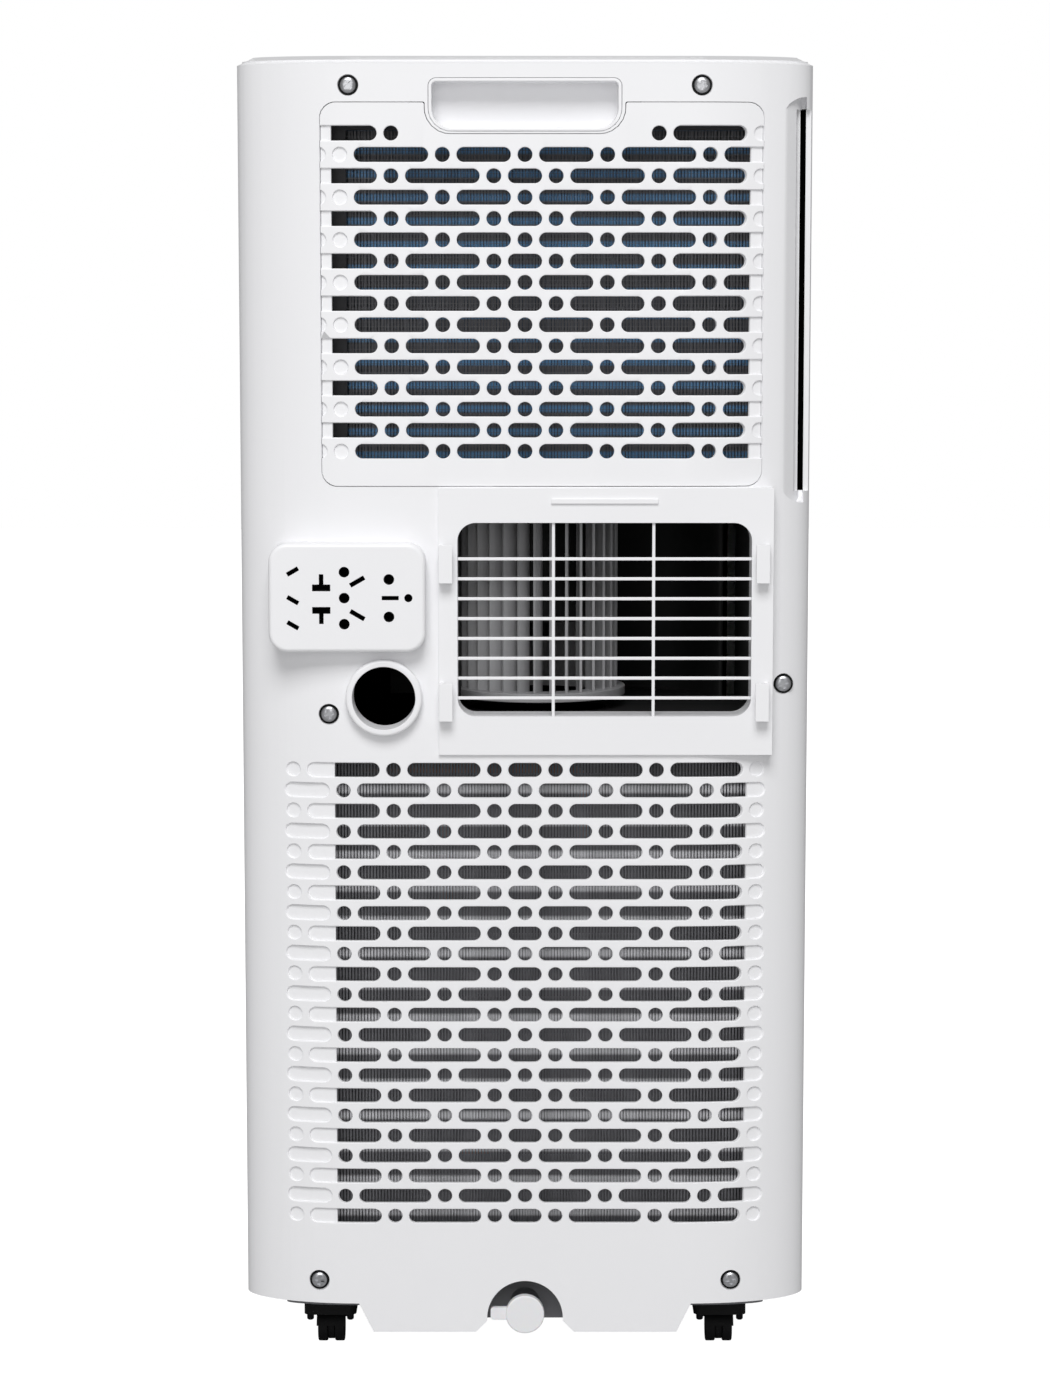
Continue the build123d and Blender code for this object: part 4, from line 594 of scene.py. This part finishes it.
# Black polyethylene foam glued inside its front and sides against noise and condensation.
insulation_foam = surface("black_insulation_foam", "0a0a0b", "060607", 2.5, 0.15, Roughness=0.95,
                          Specular_IOR_Level=0.1)
front.data.materials.append(insulation_foam)
low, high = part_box("front_shell")
for face in front.data.polygons:
    behind = face.normal.y > 0.9 and face.center.y < low.y + 6 * MM
    beside = face.normal.x * face.center.x < -0.9 * abs(face.center.x) and abs(face.center.x) > high.x - 6 * MM
    if behind or beside:
        face.material_index = 1


# ==== Rear shell and upper grille
# Two mouldings of one slotted wall in satin white ABS, 2.5 mm thick. The wall is flat behind and
# turns forward in quarter ellipses. Its slots go through in front of the heat exchangers and end
# as shallow marks beside them, and the mould leaves every rim slightly round.

WALL = 2.5
REAR_Y = cad_high.y / MM - 12.0      # rear face of the shell; the plug holder stands out beyond it
CASE_HALF = cad_high.x / MM
CASE_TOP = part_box("rear_shell")[1].z / MM
CORNER = (63.0, 29.0)                # half axes of a rear corner's quarter ellipse
SEAM_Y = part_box("rear_shell")[0].y / MM
SLOT_R = 3.8
RIM_R = 0.45                         # rounding of a slot's edge
BLIND_DEPTH = 1.2
ROW_PITCH = 10.9
OPEN_FROM, OPEN_TO = -117.3, 100.3   # the slots go through between these
HOLE_ROWS = ((16.07, 69.05, 122.0), (0.0, 42.56, 95.5))
LAST_END = 126.6                     # outer end of the last slot in the rows with a middle hole
SLOT_END = 7.3                       # hole centre to the next slot's end


def rounded(corners, steps=6, run=5.0):
    """Points of a closed outline from (x, z, radius) corners, with its straight runs divided."""
    points = []
    count = len(corners)
    for i, (x, z, radius) in enumerate(corners):
        here = Vector((x, z))
        back = (Vector(corners[i - 1][:2]) - here).normalized()
        ahead = (Vector(corners[(i + 1) % count][:2]) - here).normalized()
        half = back.angle(ahead) / 2
        start, end = here + back * radius / math.tan(half), here + ahead * radius / math.tan(half)
        centre = here + (back + ahead).normalized() * radius / math.sin(half)
        for k in range(steps + 1):
            arm = (start - centre).lerp(end - centre, k / steps)
            points.append(centre + arm.normalized() * radius if radius else here)
    divided = []
    for a, b in zip(points, points[1:] + points[:1]):
        pieces = max(1, round((b - a).length / run))
        divided += [a.lerp(b, k / pieces) for k in range(pieces) if (b - a).length > 0.001]
    return divided


def prism(name, outlines, y0, y1):
    """Closed prisms from y0 to y1, one for each outline of (x, z) points in mm."""
    work = bmesh.new()
    for outline in outlines:
        near = [work.verts.new((p[0] * MM, y0 * MM, p[1] * MM)) for p in outline]
        far = [work.verts.new((p[0] * MM, y1 * MM, p[1] * MM)) for p in outline]
        work.faces.new(near)
        work.faces.new(reversed(far))
        for i in range(len(near)):
            work.faces.new((near[i - 1], far[i - 1], far[i], near[i]))
    bmesh.ops.recalc_face_normals(work, faces=work.faces)
    return meshed(name, work)


def flattening():
    """Group that unrolls the rear corners: X measured straight across becomes X along the wall."""
    tree, given, result = tree_with("flattening", [("Geometry", "Geometry")])
    flat_half = (CASE_HALF - CORNER[0]) * MM
    position = add(tree, "ShaderNodeSeparateXYZ", {0: add(tree, "GeometryNodeInputPosition")})
    size = add(tree, "ShaderNodeMath", {0: position}, operation="ABSOLUTE")
    over = add(tree, "ShaderNodeMath", {0: size, 1: flat_half}, operation="SUBTRACT")
    share = add(tree, "ShaderNodeMath", {0: over, 1: CORNER[0] * MM}, operation="DIVIDE", use_clamp=True)
    angle = add(tree, "ShaderNodeMath", {0: share}, operation="ARCSINE")
    base = add(tree, "ShaderNodeMath", {0: size, 1: flat_half}, operation="MINIMUM")
    along = add(tree, "ShaderNodeMath", {0: angle, 1: CORNER[0] * MM, 2: base}, operation="MULTIPLY_ADD")
    past = add(tree, "ShaderNodeMath", {0: size, 1: CASE_HALF * MM}, operation="SUBTRACT")
    side = add(tree, "ShaderNodeMath", {0: past, 1: 0.0}, operation="MAXIMUM")
    length = add(tree, "ShaderNodeMath", {0: along, 1: side}, operation="ADD")
    sign = add(tree, "ShaderNodeMath", {0: position}, operation="SIGN")
    x = add(tree, "ShaderNodeMath", {0: length, 1: sign}, operation="MULTIPLY")
    place = add(tree, "ShaderNodeCombineXYZ", {0: x, 1: position.outputs[1], 2: position.outputs[2]})
    moved = add(tree, "GeometryNodeSetPosition", {"Geometry": given, "Position": place})
    tree.links.new(moved.outputs[0], result.inputs[0])
    return tree


def bending():
    """Group that rolls the flat wall round the case: -Y is depth below the outer face."""
    tree, given, result = tree_with("bending", [("Geometry", "Geometry")])
    flat_half, rx, ry = (CASE_HALF - CORNER[0]) * MM, CORNER[0] * MM, CORNER[1] * MM
    position = add(tree, "ShaderNodeSeparateXYZ", {0: add(tree, "GeometryNodeInputPosition")})
    size = add(tree, "ShaderNodeMath", {0: position}, operation="ABSOLUTE")
    over = add(tree, "ShaderNodeMath", {0: size, 1: flat_half}, operation="SUBTRACT")
    turn = add(tree, "ShaderNodeMath", {0: over, 1: rx}, operation="DIVIDE")
    angle = add(tree, "ShaderNodeClamp", {"Value": turn, "Min": 0.0, "Max": math.pi / 2})
    base = add(tree, "ShaderNodeMath", {0: size, 1: flat_half}, operation="MINIMUM")
    reach = add(tree, "ShaderNodeMath", {0: position.outputs[1], 1: rx}, operation="ADD")
    sine = add(tree, "ShaderNodeMath", {0: angle}, operation="SINE")
    width = add(tree, "ShaderNodeMath", {0: reach, 1: sine, 2: base}, operation="MULTIPLY_ADD")
    sign = add(tree, "ShaderNodeMath", {0: position}, operation="SIGN")
    x = add(tree, "ShaderNodeMath", {0: width, 1: sign}, operation="MULTIPLY")
    past = add(tree, "ShaderNodeMath", {0: over, 1: rx * math.pi / 2}, operation="SUBTRACT")
    side = add(tree, "ShaderNodeMath", {0: past, 1: 0.0}, operation="MAXIMUM")
    drop = add(tree, "ShaderNodeMath", {0: position.outputs[1], 1: ry}, operation="ADD")
    cosine = add(tree, "ShaderNodeMath", {0: angle}, operation="COSINE")
    level = add(tree, "ShaderNodeMath", {0: drop, 1: cosine, 2: REAR_Y * MM - ry}, operation="MULTIPLY_ADD")
    y = add(tree, "ShaderNodeMath", {0: level, 1: side}, operation="SUBTRACT")
    place = add(tree, "ShaderNodeCombineXYZ", {0: x, 1: y, 2: position.outputs[2]})
    moved = add(tree, "GeometryNodeSetPosition", {"Geometry": given, "Position": place})
    tree.links.new(moved.outputs[0], result.inputs[0])
    return tree


def slotted_wall():
    """Tree for a piece of the case wall, worked flat: outline, slots, openings, ledge, then the bend."""
    tree, given, result = tree_with("slotted_wall", [
        ("Geometry", "Geometry"), ("Outline", "Object"), ("Slots", "Object"), ("Open cutter", "Object"),
        ("Blind cutter", "Object"), ("Openings", "Object"), ("Ledge", "Object"), ("Bent additions", "Object"),
        ("Bent openings", "Object"), ("Slit", "Object"), ("Wall size", "Vector"), ("Wall centre", "Vector"),
        ("Columns", "Int"), ("Open from", "Float"), ("Open to", "Float"), ("Material", "Material")])
    flat, bend = flattening(), bending()

    def shape(name):
        return add(tree, "GeometryNodeObjectInfo", {"Object": given.outputs[name]}).outputs["Geometry"]

    def flattened(geometry):
        return add(tree, "GeometryNodeGroup", node_tree=flat, inputs={0: geometry})

    plate = add(tree, "GeometryNodeMeshCube", {
        "Size": given.outputs["Wall size"], "Vertices X": given.outputs["Columns"], "Vertices Y": 2,
        "Vertices Z": 2})
    plate = add(tree, "GeometryNodeTransform", {"Geometry": plate, "Translation": given.outputs["Wall centre"]})
    wall = add(tree, "GeometryNodeMeshBoolean", operation="INTERSECT", solver="MANIFOLD")
    tree.links.new(plate.outputs[0], wall.inputs["Mesh 2"])
    tree.links.new(flattened(shape("Outline")).outputs[0], wall.inputs["Mesh 2"])
    cut = add(tree, "GeometryNodeMeshBoolean", {"Mesh 1": wall}, operation="DIFFERENCE", solver="MANIFOLD")
    position = add(tree, "ShaderNodeSeparateXYZ", {0: add(tree, "GeometryNodeInputPosition")})
    half = add(tree, "GeometryNodeInputNamedAttribute", {"Name": "half"}, data_type="FLOAT")
    side = add(tree, "GeometryNodeInputNamedAttribute", {"Name": "side"}, data_type="FLOAT")
    sign = add(tree, "ShaderNodeMath", {0: position}, operation="SIGN")
    stretch = add(tree, "ShaderNodeMath", {0: half, 1: side}, operation="MULTIPLY")
    stretched = add(tree, "ShaderNodeCombineXYZ", {0: stretch})
    stopped = add(tree, "ShaderNodeClamp", {
        "Value": position, "Min": given.outputs["Open from"], "Max": given.outputs["Open to"]})
    within = add(tree, "ShaderNodeCombineXYZ", {0: stopped, 1: position.outputs[1], 2: position.outputs[2]})
    for cutter, wanted in (("Open cutter", "open"), ("Blind cutter", "blind")):
        pick = add(tree, "GeometryNodeInputNamedAttribute", {"Name": wanted}, data_type="FLOAT")
        chosen = add(tree, "ShaderNodeMath", {0: pick, 1: 0.5}, operation="GREATER_THAN")
        marked = add(tree, "GeometryNodeStoreNamedAttribute", {
            "Geometry": shape(cutter), "Name": "side", "Value": sign}, data_type="FLOAT", domain="POINT")
        copies = add(tree, "GeometryNodeInstanceOnPoints", {
            "Points": shape("Slots"), "Selection": chosen, "Instance": marked})
        solid = add(tree, "GeometryNodeRealizeInstances", {0: copies})
        solid = add(tree, "GeometryNodeSetPosition", {"Geometry": solid, "Offset": stretched})
        if wanted == "open":
            solid = add(tree, "GeometryNodeSetPosition", {"Geometry": solid, "Position": within})
        tree.links.new(flattened(solid).outputs[0], cut.inputs["Mesh 2"])
    tree.links.new(flattened(shape("Openings")).outputs[0], cut.inputs["Mesh 2"])
    joined = add(tree, "GeometryNodeJoinGeometry", {0: flattened(shape("Ledge"))})
    tree.links.new(cut.outputs[0], joined.inputs[0])
    bent = add(tree, "GeometryNodeGroup", {0: joined}, node_tree=bend)
    fuller = add(tree, "GeometryNodeMeshBoolean", operation="UNION", solver="MANIFOLD")
    tree.links.new(bent.outputs[0], fuller.inputs["Mesh 2"])
    tree.links.new(shape("Bent additions"), fuller.inputs["Mesh 2"])
    opened = add(tree, "GeometryNodeMeshBoolean", {"Mesh 1": fuller}, operation="DIFFERENCE", solver="MANIFOLD")
    tree.links.new(shape("Bent openings"), opened.inputs["Mesh 2"])
    tree.links.new(shape("Slit"), opened.inputs["Mesh 2"])
    finished(tree, opened, given, result)
    return tree


def slot_points(name, top, rows, clear_half, reach):
    """A vertex in the middle of each slot and hole, with its half length and whether it is open or blind."""
    middles, halves, opened, blind = [], [], [], []
    for row in range(rows):
        holes = HOLE_ROWS[row % 2]
        spans = [(x - SLOT_R, x + SLOT_R) for x in holes]
        spans += [(a + SLOT_END, b - SLOT_END) for a, b in zip(holes, holes[1:])]
        if row % 2:
            spans.append((holes[-1] + SLOT_END, LAST_END))
        spans += [(-b, -a) for a, b in spans if a > 0]
        if row % 2 == 0:
            spans.append((SLOT_END - holes[0], holes[0] - SLOT_END))
        for start, end in spans:
            if row == 0 and -clear_half < start and end < clear_half:
                continue
            middles.append(Vector(((start + end) / 2, 0, top - row * ROW_PITCH)) * MM)
            halves.append(((end - start) / 2 - SLOT_R) * MM)
            opened.append(float(start < reach and end > OPEN_FROM))
            blind.append(float(end > reach or start < OPEN_FROM))
    mesh = bpy.data.meshes.new(name)
    mesh.from_pydata(middles, [], [])
    for label, values in (("half", halves), ("open", opened), ("blind", blind)):
        mesh.attributes.new(label, "FLOAT", "POINT").data.foreach_set("value", values)
    return mesh


def slot_cutter(name, depth):
    """What one round hole takes away: its wall, its rounded rim and the air in front of it."""
    rim = [(SLOT_R + RIM_R * (1 - math.cos(a)), RIM_R * (math.sin(a) - 1))
           for a in (0.0, math.pi / 6, math.pi / 3, math.pi / 2)]
    return turned(name, [(SLOT_R, -depth), *rim, (SLOT_R + RIM_R, 1.0)], 24, axis="Y")


def disc(x, z, radius):
    """A circle's outline, for the counterbores."""
    return [(x + radius * math.cos(a), z + radius * math.sin(a)) for a in (math.pi * i / 16 for i in range(32))]


PANEL = (-123.6, 105.9, 468.5, 666.4, 8.0)      # opening for the upper grille: sides, ends, corner
TONGUE = (51.6, 650.3, 13.0)                    # half width, lower end and corner of the handle's tongue
SPLIT = 0.4                                     # joint line round the grille


def panel_corners(by):
    """The grille's opening, drawn in by a gap, with the tongue's notch in its top edge."""
    x0, x1, z0, z1, r = PANEL
    half, low, tongue_r = TONGUE
    x0, x1, z0, z1 = x0 + by, x1 - by, z0 + by, z1 - by
    half, low = half + by, low - by
    return [(x0, z0, r), (x1, z0, r), (x1, z1, r), (half, z1, 1.0), (half, low, tongue_r + by),
            (-half, low, tongue_r + by), (-half, z1, 1.0), (x0, z1, r)]


def plain_corners(x0, x1, z0, z1, r):
    """A rectangle's corners, all of one radius."""
    return [(x0, z0, r), (x1, z0, r), (x1, z1, r), (x0, z1, r)]


wall_tree = slotted_wall()
open_cutter = helper("open_cutter", slot_cutter("open_cutter", 2.4 * WALL))
blind_cutter = helper("blind_cutter", slot_cutter("blind_cutter", BLIND_DEPTH))
nothing = helper("nothing", bpy.data.meshes.new("nothing"))

side_run = CASE_HALF + REAR_Y - CORNER[1] - SEAM_Y
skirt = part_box("rear_shell")[0].z / MM
shell_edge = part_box("front_shell")[0].z / MM
shell_outline = rounded([
    (-side_run, shell_edge, 0), (-88.7, shell_edge, 0), (-80.9, skirt, 0), (80.9, skirt, 0),
    (88.7, shell_edge, 0), (side_run, shell_edge, 0), (side_run, CASE_TOP, 0), (-side_run, CASE_TOP, 0)])
arch = rounded([(-26.2, skirt - 2, 0), (26.2, skirt - 2, 0), (26.2, skirt, 0), (20.2, skirt + 6, 0),
                (20.2, 44.4, 20.19), (-20.2, 44.4, 20.19), (-20.2, skirt + 6, 0), (-26.2, skirt, 0)], steps=16)
x0, x1, z0, z1 = PANEL[:4]
openings = prism("openings", [
    rounded(panel_corners(0.0)), arch, rounded(plain_corners(-120.4, 37.4, 346.2, 452.0, 11.7)),
    rounded(plain_corners(57.6, 127.2, 389.1, 433.8, 4.0)), disc(73.8, 358.3, 18.5),
    rounded([(-50, 651.2, 12), (50, 651.2, 12), (50, 678.6, 4.2), (-50, 678.6, 4.2)])], -3 * WALL, WALL)
ledge = prism("ledge", [rounded([
    (60, z1 + 5, 0), (x1 + 5, z1 + 5, 13), (x1 + 5, z0 - 5, 13), (x0 - 5, z0 - 5, 13), (x0 - 5, z1 + 5, 13),
    (-60, z1 + 5, 0), (-60, z1 - 5, 0), (x0 + 5, z1 - 5, 3), (x0 + 5, z0 + 5, 3), (x1 - 5, z0 + 5, 3),
    (x1 - 5, z1 - 5, 3), (60, z1 - 5, 0)])], -WALL - 1.6, -WALL + 0.05)

SCREWS = ((91.0, 674.8), (-91.0, 674.8), (102.8, 349.2), (-136.0, 364.2), (109.8, 44.4), (-109.8, 44.4))


def face_y(x):
    """Y of the rear face at x."""
    over = max(0.0, abs(x) - CASE_HALF + CORNER[0]) / CORNER[0]
    return REAR_Y - CORNER[1] * (1 - math.sqrt(1 - over * over))


def screw_post(x, z, radius=7.0, steps=24):
    """A post behind the wall for a screw, its top face just under the wall's outer face."""
    ring = [(x + radius * math.cos(a), z + radius * math.sin(a)) for a in
            (2 * math.pi * i / steps for i in range(steps))]
    work = bmesh.new()
    low = [work.verts.new((px * MM, (face_y(x) - 12) * MM, pz * MM)) for px, pz in ring]
    high = [work.verts.new((px * MM, (face_y(px) - 1.2) * MM, pz * MM)) for px, pz in ring]
    work.faces.new(reversed(low))
    work.faces.new(high)
    for i in range(steps):
        work.faces.new((low[i - 1], low[i], high[i], high[i - 1]))
    bmesh.ops.recalc_face_normals(work, faces=work.faces)
    return meshed("screw_post", work)


def lofted(name, loops):
    """A closed mesh through loops of as many (x, y, z) points in mm, y measured from the rear face."""
    work = bmesh.new()
    rings = [[work.verts.new((x * MM, (REAR_Y + y) * MM, z * MM)) for x, y, z in loop] for loop in loops]
    for a, b in zip(rings, rings[1:]):
        for i in range(len(a)):
            work.faces.new((a[i - 1], a[i], b[i], b[i - 1]))
    work.faces.new(rings[0])
    work.faces.new(rings[-1])
    bmesh.ops.recalc_face_normals(work, faces=work.faces)
    return meshed(name, work)


def finger_recess(name, grow):
    """The recess beside the filter slot: a ramp that deepens away from the rear, with round ends."""
    ramp = ((-40.0, -144.0), (-24.0, -144.0), (-18.0, -141.0), (-9.0, -133.8))
    start, end = -10.0 + (0.5 if grow else 0.0), -26.5 - grow
    low, high, corner = 459.2 - grow, 669.5 + grow, 8.0
    turns = [math.pi / 2 * i / 6 for i in range(7)]
    levels = [(low + corner * (1 - math.cos(t)), corner * (1 - math.sin(t))) for t in turns]
    levels += [(high + low - z, inset) for z, inset in reversed(levels)]
    loops = []
    for z, inset in levels:
        inner, outer = [], []
        for k in range(9):
            y = (start - inset) + (end - start + 2 * inset) * k / 8
            for (ya, xa), (yb, xb) in zip(ramp, ramp[1:]):
                if ya <= y <= yb:
                    x = xa + (xb - xa) * (y - ya) / (yb - ya)
            inner.append((x + grow, y, z))
            side = CORNER[0] * math.sqrt(max(0.0, 1 - ((CORNER[1] + max(y, -CORNER[1])) / CORNER[1]) ** 2))
            outer.append((-(CASE_HALF - CORNER[0] + side - 0.8) if grow else -146.3, y, z))
        loops.append(inner + outer[::-1])
    return lofted(name, loops)


bores = [prism("bore", [disc(x, z, 5.5)], face_y(x) - 1.7, REAR_Y + 2) for x, z in SCREWS]
SLIT_Z = (465.1, 663.1)              # ends of the filter's slot
SLIT_Y = (-24.0, -18.0)              # the filter's way out to the side, measured from the rear face
SHADOW_GAP_X, SHADOW_GAP_FLOOR = (-146.2, -143.3), -28.4     # the narrow pocket beyond it, its faces painted black as a shadow gap
slit_plan = ((-152, SLIT_Y[1]), (-134, SLIT_Y[1]), (-134, SLIT_Y[0]), (SHADOW_GAP_X[1], SLIT_Y[0]),
             (SHADOW_GAP_X[1], SHADOW_GAP_FLOOR), (SHADOW_GAP_X[0], SHADOW_GAP_FLOOR), (SHADOW_GAP_X[0], SLIT_Y[0]), (-152, SLIT_Y[0]))
slit = helper("slit", lofted("slit", [[(x, y, z) for x, y in slit_plan] for z in SLIT_Z]))
additions = helper("additions", joined("additions", [
    finger_recess("rim", WALL), *(screw_post(x, z) for x, z in SCREWS)]))
bent_openings = helper("bent_openings", joined("bent_openings", [*bores, finger_recess("recess", 0.0)]))
shell_mesh = grown(
    wall_tree, "rear_shell_slotted", bpy.data.meshes.new("rear_shell"),
    Outline=helper("shell_outline", prism("shell_outline", [shell_outline], -3 * WALL, WALL)),
    Slots=helper("lower_slots", slot_points("lower_slots", 319.7, 23, 0.0, OPEN_TO)),
    Open_cutter=open_cutter, Blind_cutter=blind_cutter, Openings=helper("openings", openings),
    Ledge=helper("ledge", ledge), Bent_additions=additions, Bent_openings=bent_openings, Slit=slit,
    Wall_size=(2 * 240 * MM, WALL * MM, 700 * MM), Wall_centre=(0.0, -WALL / 2 * MM, 350 * MM), Columns=100,
    Open_from=OPEN_FROM * MM, Open_to=OPEN_TO * MM, Material=white_abs)
shell = placed("rear_shell_slotted", smooth(shell_mesh, 26), "case", "white_case", "rear_shell")
# Painted shadow: the narrow pocket's faces are matt black, for the shadow gap where the filter leaves the case.
painted_gap_shadow = surface("painted_gap_shadow_black", "030303", "020202", 0.5, 0.1, Roughness=1.0, Specular_IOR_Level=0.0)
shell.data.materials.append(painted_gap_shadow)
for face in shell.data.polygons:
    x, y, z = face.center / MM
    across = SHADOW_GAP_X[0] - 0.1 < x < SHADOW_GAP_X[1] + 0.1 and SLIT_Z[0] - 0.1 < z < SLIT_Z[1] + 0.1
    if across and SHADOW_GAP_FLOOR - 0.1 < y - REAR_Y < SLIT_Y[0] + 2.2:
        face.material_index = len(shell.data.materials) - 1
grille_mesh = grown(
    wall_tree, "intake_grille_slotted", bpy.data.meshes.new("intake_grille"),
    Outline=helper("grille_outline", prism("grille_outline", [rounded(panel_corners(SPLIT))], -3 * WALL, WALL)),
    Slots=helper("upper_slots", slot_points("upper_slots", 650.4, 16, 63.0, 91.0)),
    Open_cutter=open_cutter, Blind_cutter=blind_cutter, Openings=nothing, Ledge=nothing,
    Bent_additions=nothing, Bent_openings=nothing, Slit=nothing,
    Wall_size=(2 * 160 * MM, WALL * MM, 220 * MM), Wall_centre=(0.0, -WALL / 2 * MM, 567 * MM), Columns=66,
    Open_from=OPEN_FROM * MM, Open_to=OPEN_TO * MM, Material=white_abs)
placed("intake_grille_slotted", smooth(grille_mesh, 26), "case", "white_case", "intake_grille")


# ==== Trim of the rear face
# Handle cup, outlet frame with its hooks and guard, plug holder and cord collar: separate white
# ABS mouldings snapped or screwed into the rear shell.

softened("handle_cup", 0.6, "white_case", white_abs)
softened("exhaust_frame", 0.14, "white_case", white_abs, beyond=REAR_Y + 0.4)
softened("exhaust_guard", 0.45, "white_case", white_abs)
holder = softened("plug_holder", 0.2, "white_case", white_abs)
low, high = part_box("plug_holder")
# Painted shade in the pin pockets: their faces are matt black right up to their mouths, for the darkness deep
# in the holes.
painted_pocket_shade = surface("painted_pocket_shade_black", "050505", "030303", 1.0, 0.02, Roughness=0.9)
holder.data.materials.append(painted_pocket_shade)
for face in holder.data.polygons:
    across = low.x + 4 * MM < face.center.x < high.x - 4 * MM
    upright = low.z + 6 * MM < face.center.z < high.z - 6 * MM
    if across and upright and low.y + 1 * MM < face.center.y < high.y - 1 * MM:
        face.material_index = 1
softened("cord_port", 0.5, "white_case", white_abs)


# ==== Case screws
# Six zinc-plated steel screws with pan heads and cross recesses, driven from behind through the
# rear shell into posts of the front one. A thin black ring under each head is painted shadow, for the dark ring
# of shade in the counterbore.

seats = [(x, face_y(x) - 1.7, z) for x, z in SCREWS]
case_screw = helper("case_screw", turned("case_screw", [
    (0.4, -13.8), (1.5, -12.2), (1.9, -11.0), (1.9, 0.0), (5.2, 0.0), (5.2, 0.5), (4.2, 0.5), (4.2, 0.9),
    (3.9, 1.55), (3.2, 2.0), (2.2, 2.2)], 40))
screws = grown(screw_tree, "case_screws_set", points_at("case_screw_seats", seats), Screw=case_screw,
               Recess_size=(5.4 * MM, 1.6 * MM, 3.6 * MM), Recess_floor=(0.0, 0.0, 2.4 * MM),
               Tilt=(-math.pi / 2, 0.0, 0.0), Spin_axis=(0.0, 1.0, 0.0), Material=zinc_plated_steel)
screws = smooth(screws)
# Painted shadow: the thin flange under each head takes the black nylon finish, for the shade in the counterbore
# round the head.
screws.materials.append(glass_filled_nylon)
for face in screws.polygons:
    if any(abs(face.center.y / MM - y - 0.25) < 0.3 for x, y, z in seats if abs(face.center.x / MM - x) < 6):
        face.material_index = len(screws.materials) - 1
placed("case_screws_set", screws, "case", "screw_steel", "case_screws")


# ==== Top cover and controls
# White ABS lid with a gloss black panel let into it. Under the panel a small board carries six
# switches and a two-digit display, which shows through a tinted acrylic lens.

gloss_black_abs = surface("gloss_black_abs", "121214", "0f0f11", 30.0, 0.002, Roughness=0.12, IOR=1.54)
smoked_acrylic = surface("smoked_acrylic", "0b0b0d", "0b0b0d", 30.0, 0.001, Roughness=0.05, IOR=1.49,
                         Alpha=0.75)
keycap_abs = surface("white_keycap_abs", "ececee", "e6e6e9", 0.8, 0.02, Roughness=0.35, IOR=1.54)
softened("top_cover", 0.6, "white_case", white_abs)
softened("control_panel", 0.3, "panel_gloss", gloss_black_abs)
softened("display_window", 0.2, "display_lens", smoked_acrylic)
softened("control_board", 0.2, "board_green", solder_mask)
for key in ("power", "mode", "speed", "timer", "down", "up"):
    softened(f"button_{key}", 0.25, "button_plastic", keycap_abs)


# ==== Studio
# A white floor and a white room, one large soft light above and behind the camera, and a camera
# level with the case's upper half, looking slightly down at the rear face.

# What only fed a tree has done its work and goes before the floor is laid.
for spare in [o for o in bpy.context.scene.collection.objects if o.type == "MESH" and not o.parent]:
    bpy.data.objects.remove(spare)
floor_mesh = bpy.data.meshes.new("floor")
floor_mesh.from_pydata([(-6, -6, 0), (6, -6, 0), (6, 6, 0), (-6, 6, 0)], [], [(0, 1, 2, 3)])
floor = bpy.data.objects.new("floor", floor_mesh)
bpy.context.scene.collection.objects.link(floor)
# The sheet looks as white as the room behind it, but throws back only half the light that falls on it.
lit_paper = surface("lit_white_paper", "bcbcbc", "bababa", 20.0, 0.0, Roughness=0.9,
                    Emission_Color=(1, 1, 1, 1))
seen = add(lit_paper.node_tree, "ShaderNodeLightPath").outputs["Is Camera Ray"]
glow = add(lit_paper.node_tree, "ShaderNodeMath", {0: seen, 1: 1.0}, operation="MULTIPLY")
paper = lit_paper.node_tree.nodes["Principled BSDF"]
lit_paper.node_tree.links.new(glow.outputs[0], paper.inputs["Emission Strength"])
floor.data.materials.append(lit_paper)

world = bpy.data.worlds.new("white_room")
world.use_nodes = True
bpy.context.scene.world = world
room = world.node_tree.nodes["Background"]
room.inputs["Color"].default_value = (1.0, 1.0, 1.0, 1.0)
seen = add(world.node_tree, "ShaderNodeLightPath").outputs["Is Camera Ray"]
level = add(world.node_tree, "ShaderNodeMapRange", {"Value": seen, "To Min": 0.32, "To Max": 1.0})
world.node_tree.links.new(level.outputs[0], room.inputs["Strength"])

for name, size, power, place, aim in (
        ("key", 2.4, 185.0, (0.15, 3.8, 4.2), (0, 0, 0.4)), ("fill", 0.8, 5.0, (0.2, 2.2, 0.75), (0, 0, 0.35))):
    lamp = bpy.data.lights.new(name, "AREA")
    lamp.size = size
    lamp.energy = power
    light = bpy.data.objects.new(name, lamp)
    bpy.context.scene.collection.objects.link(light)
    light.location = place
    light.rotation_euler = (Vector(aim) - light.location).to_track_quat("-Z", "Y").to_euler()

camera_data = bpy.data.cameras.new("camera")
camera_data.sensor_fit = "VERTICAL"
camera_data.sensor_height = 36.0
camera_data.lens = 93.56
camera = bpy.data.objects.new("camera", camera_data)
bpy.context.scene.collection.objects.link(camera)
camera.location = (0.0, 2.0375, 0.5838)
camera.rotation_euler = (math.radians(90 - 6.841), 0, math.radians(180))
bpy.context.scene.camera = camera
bpy.context.scene.view_settings.view_transform = "Standard"
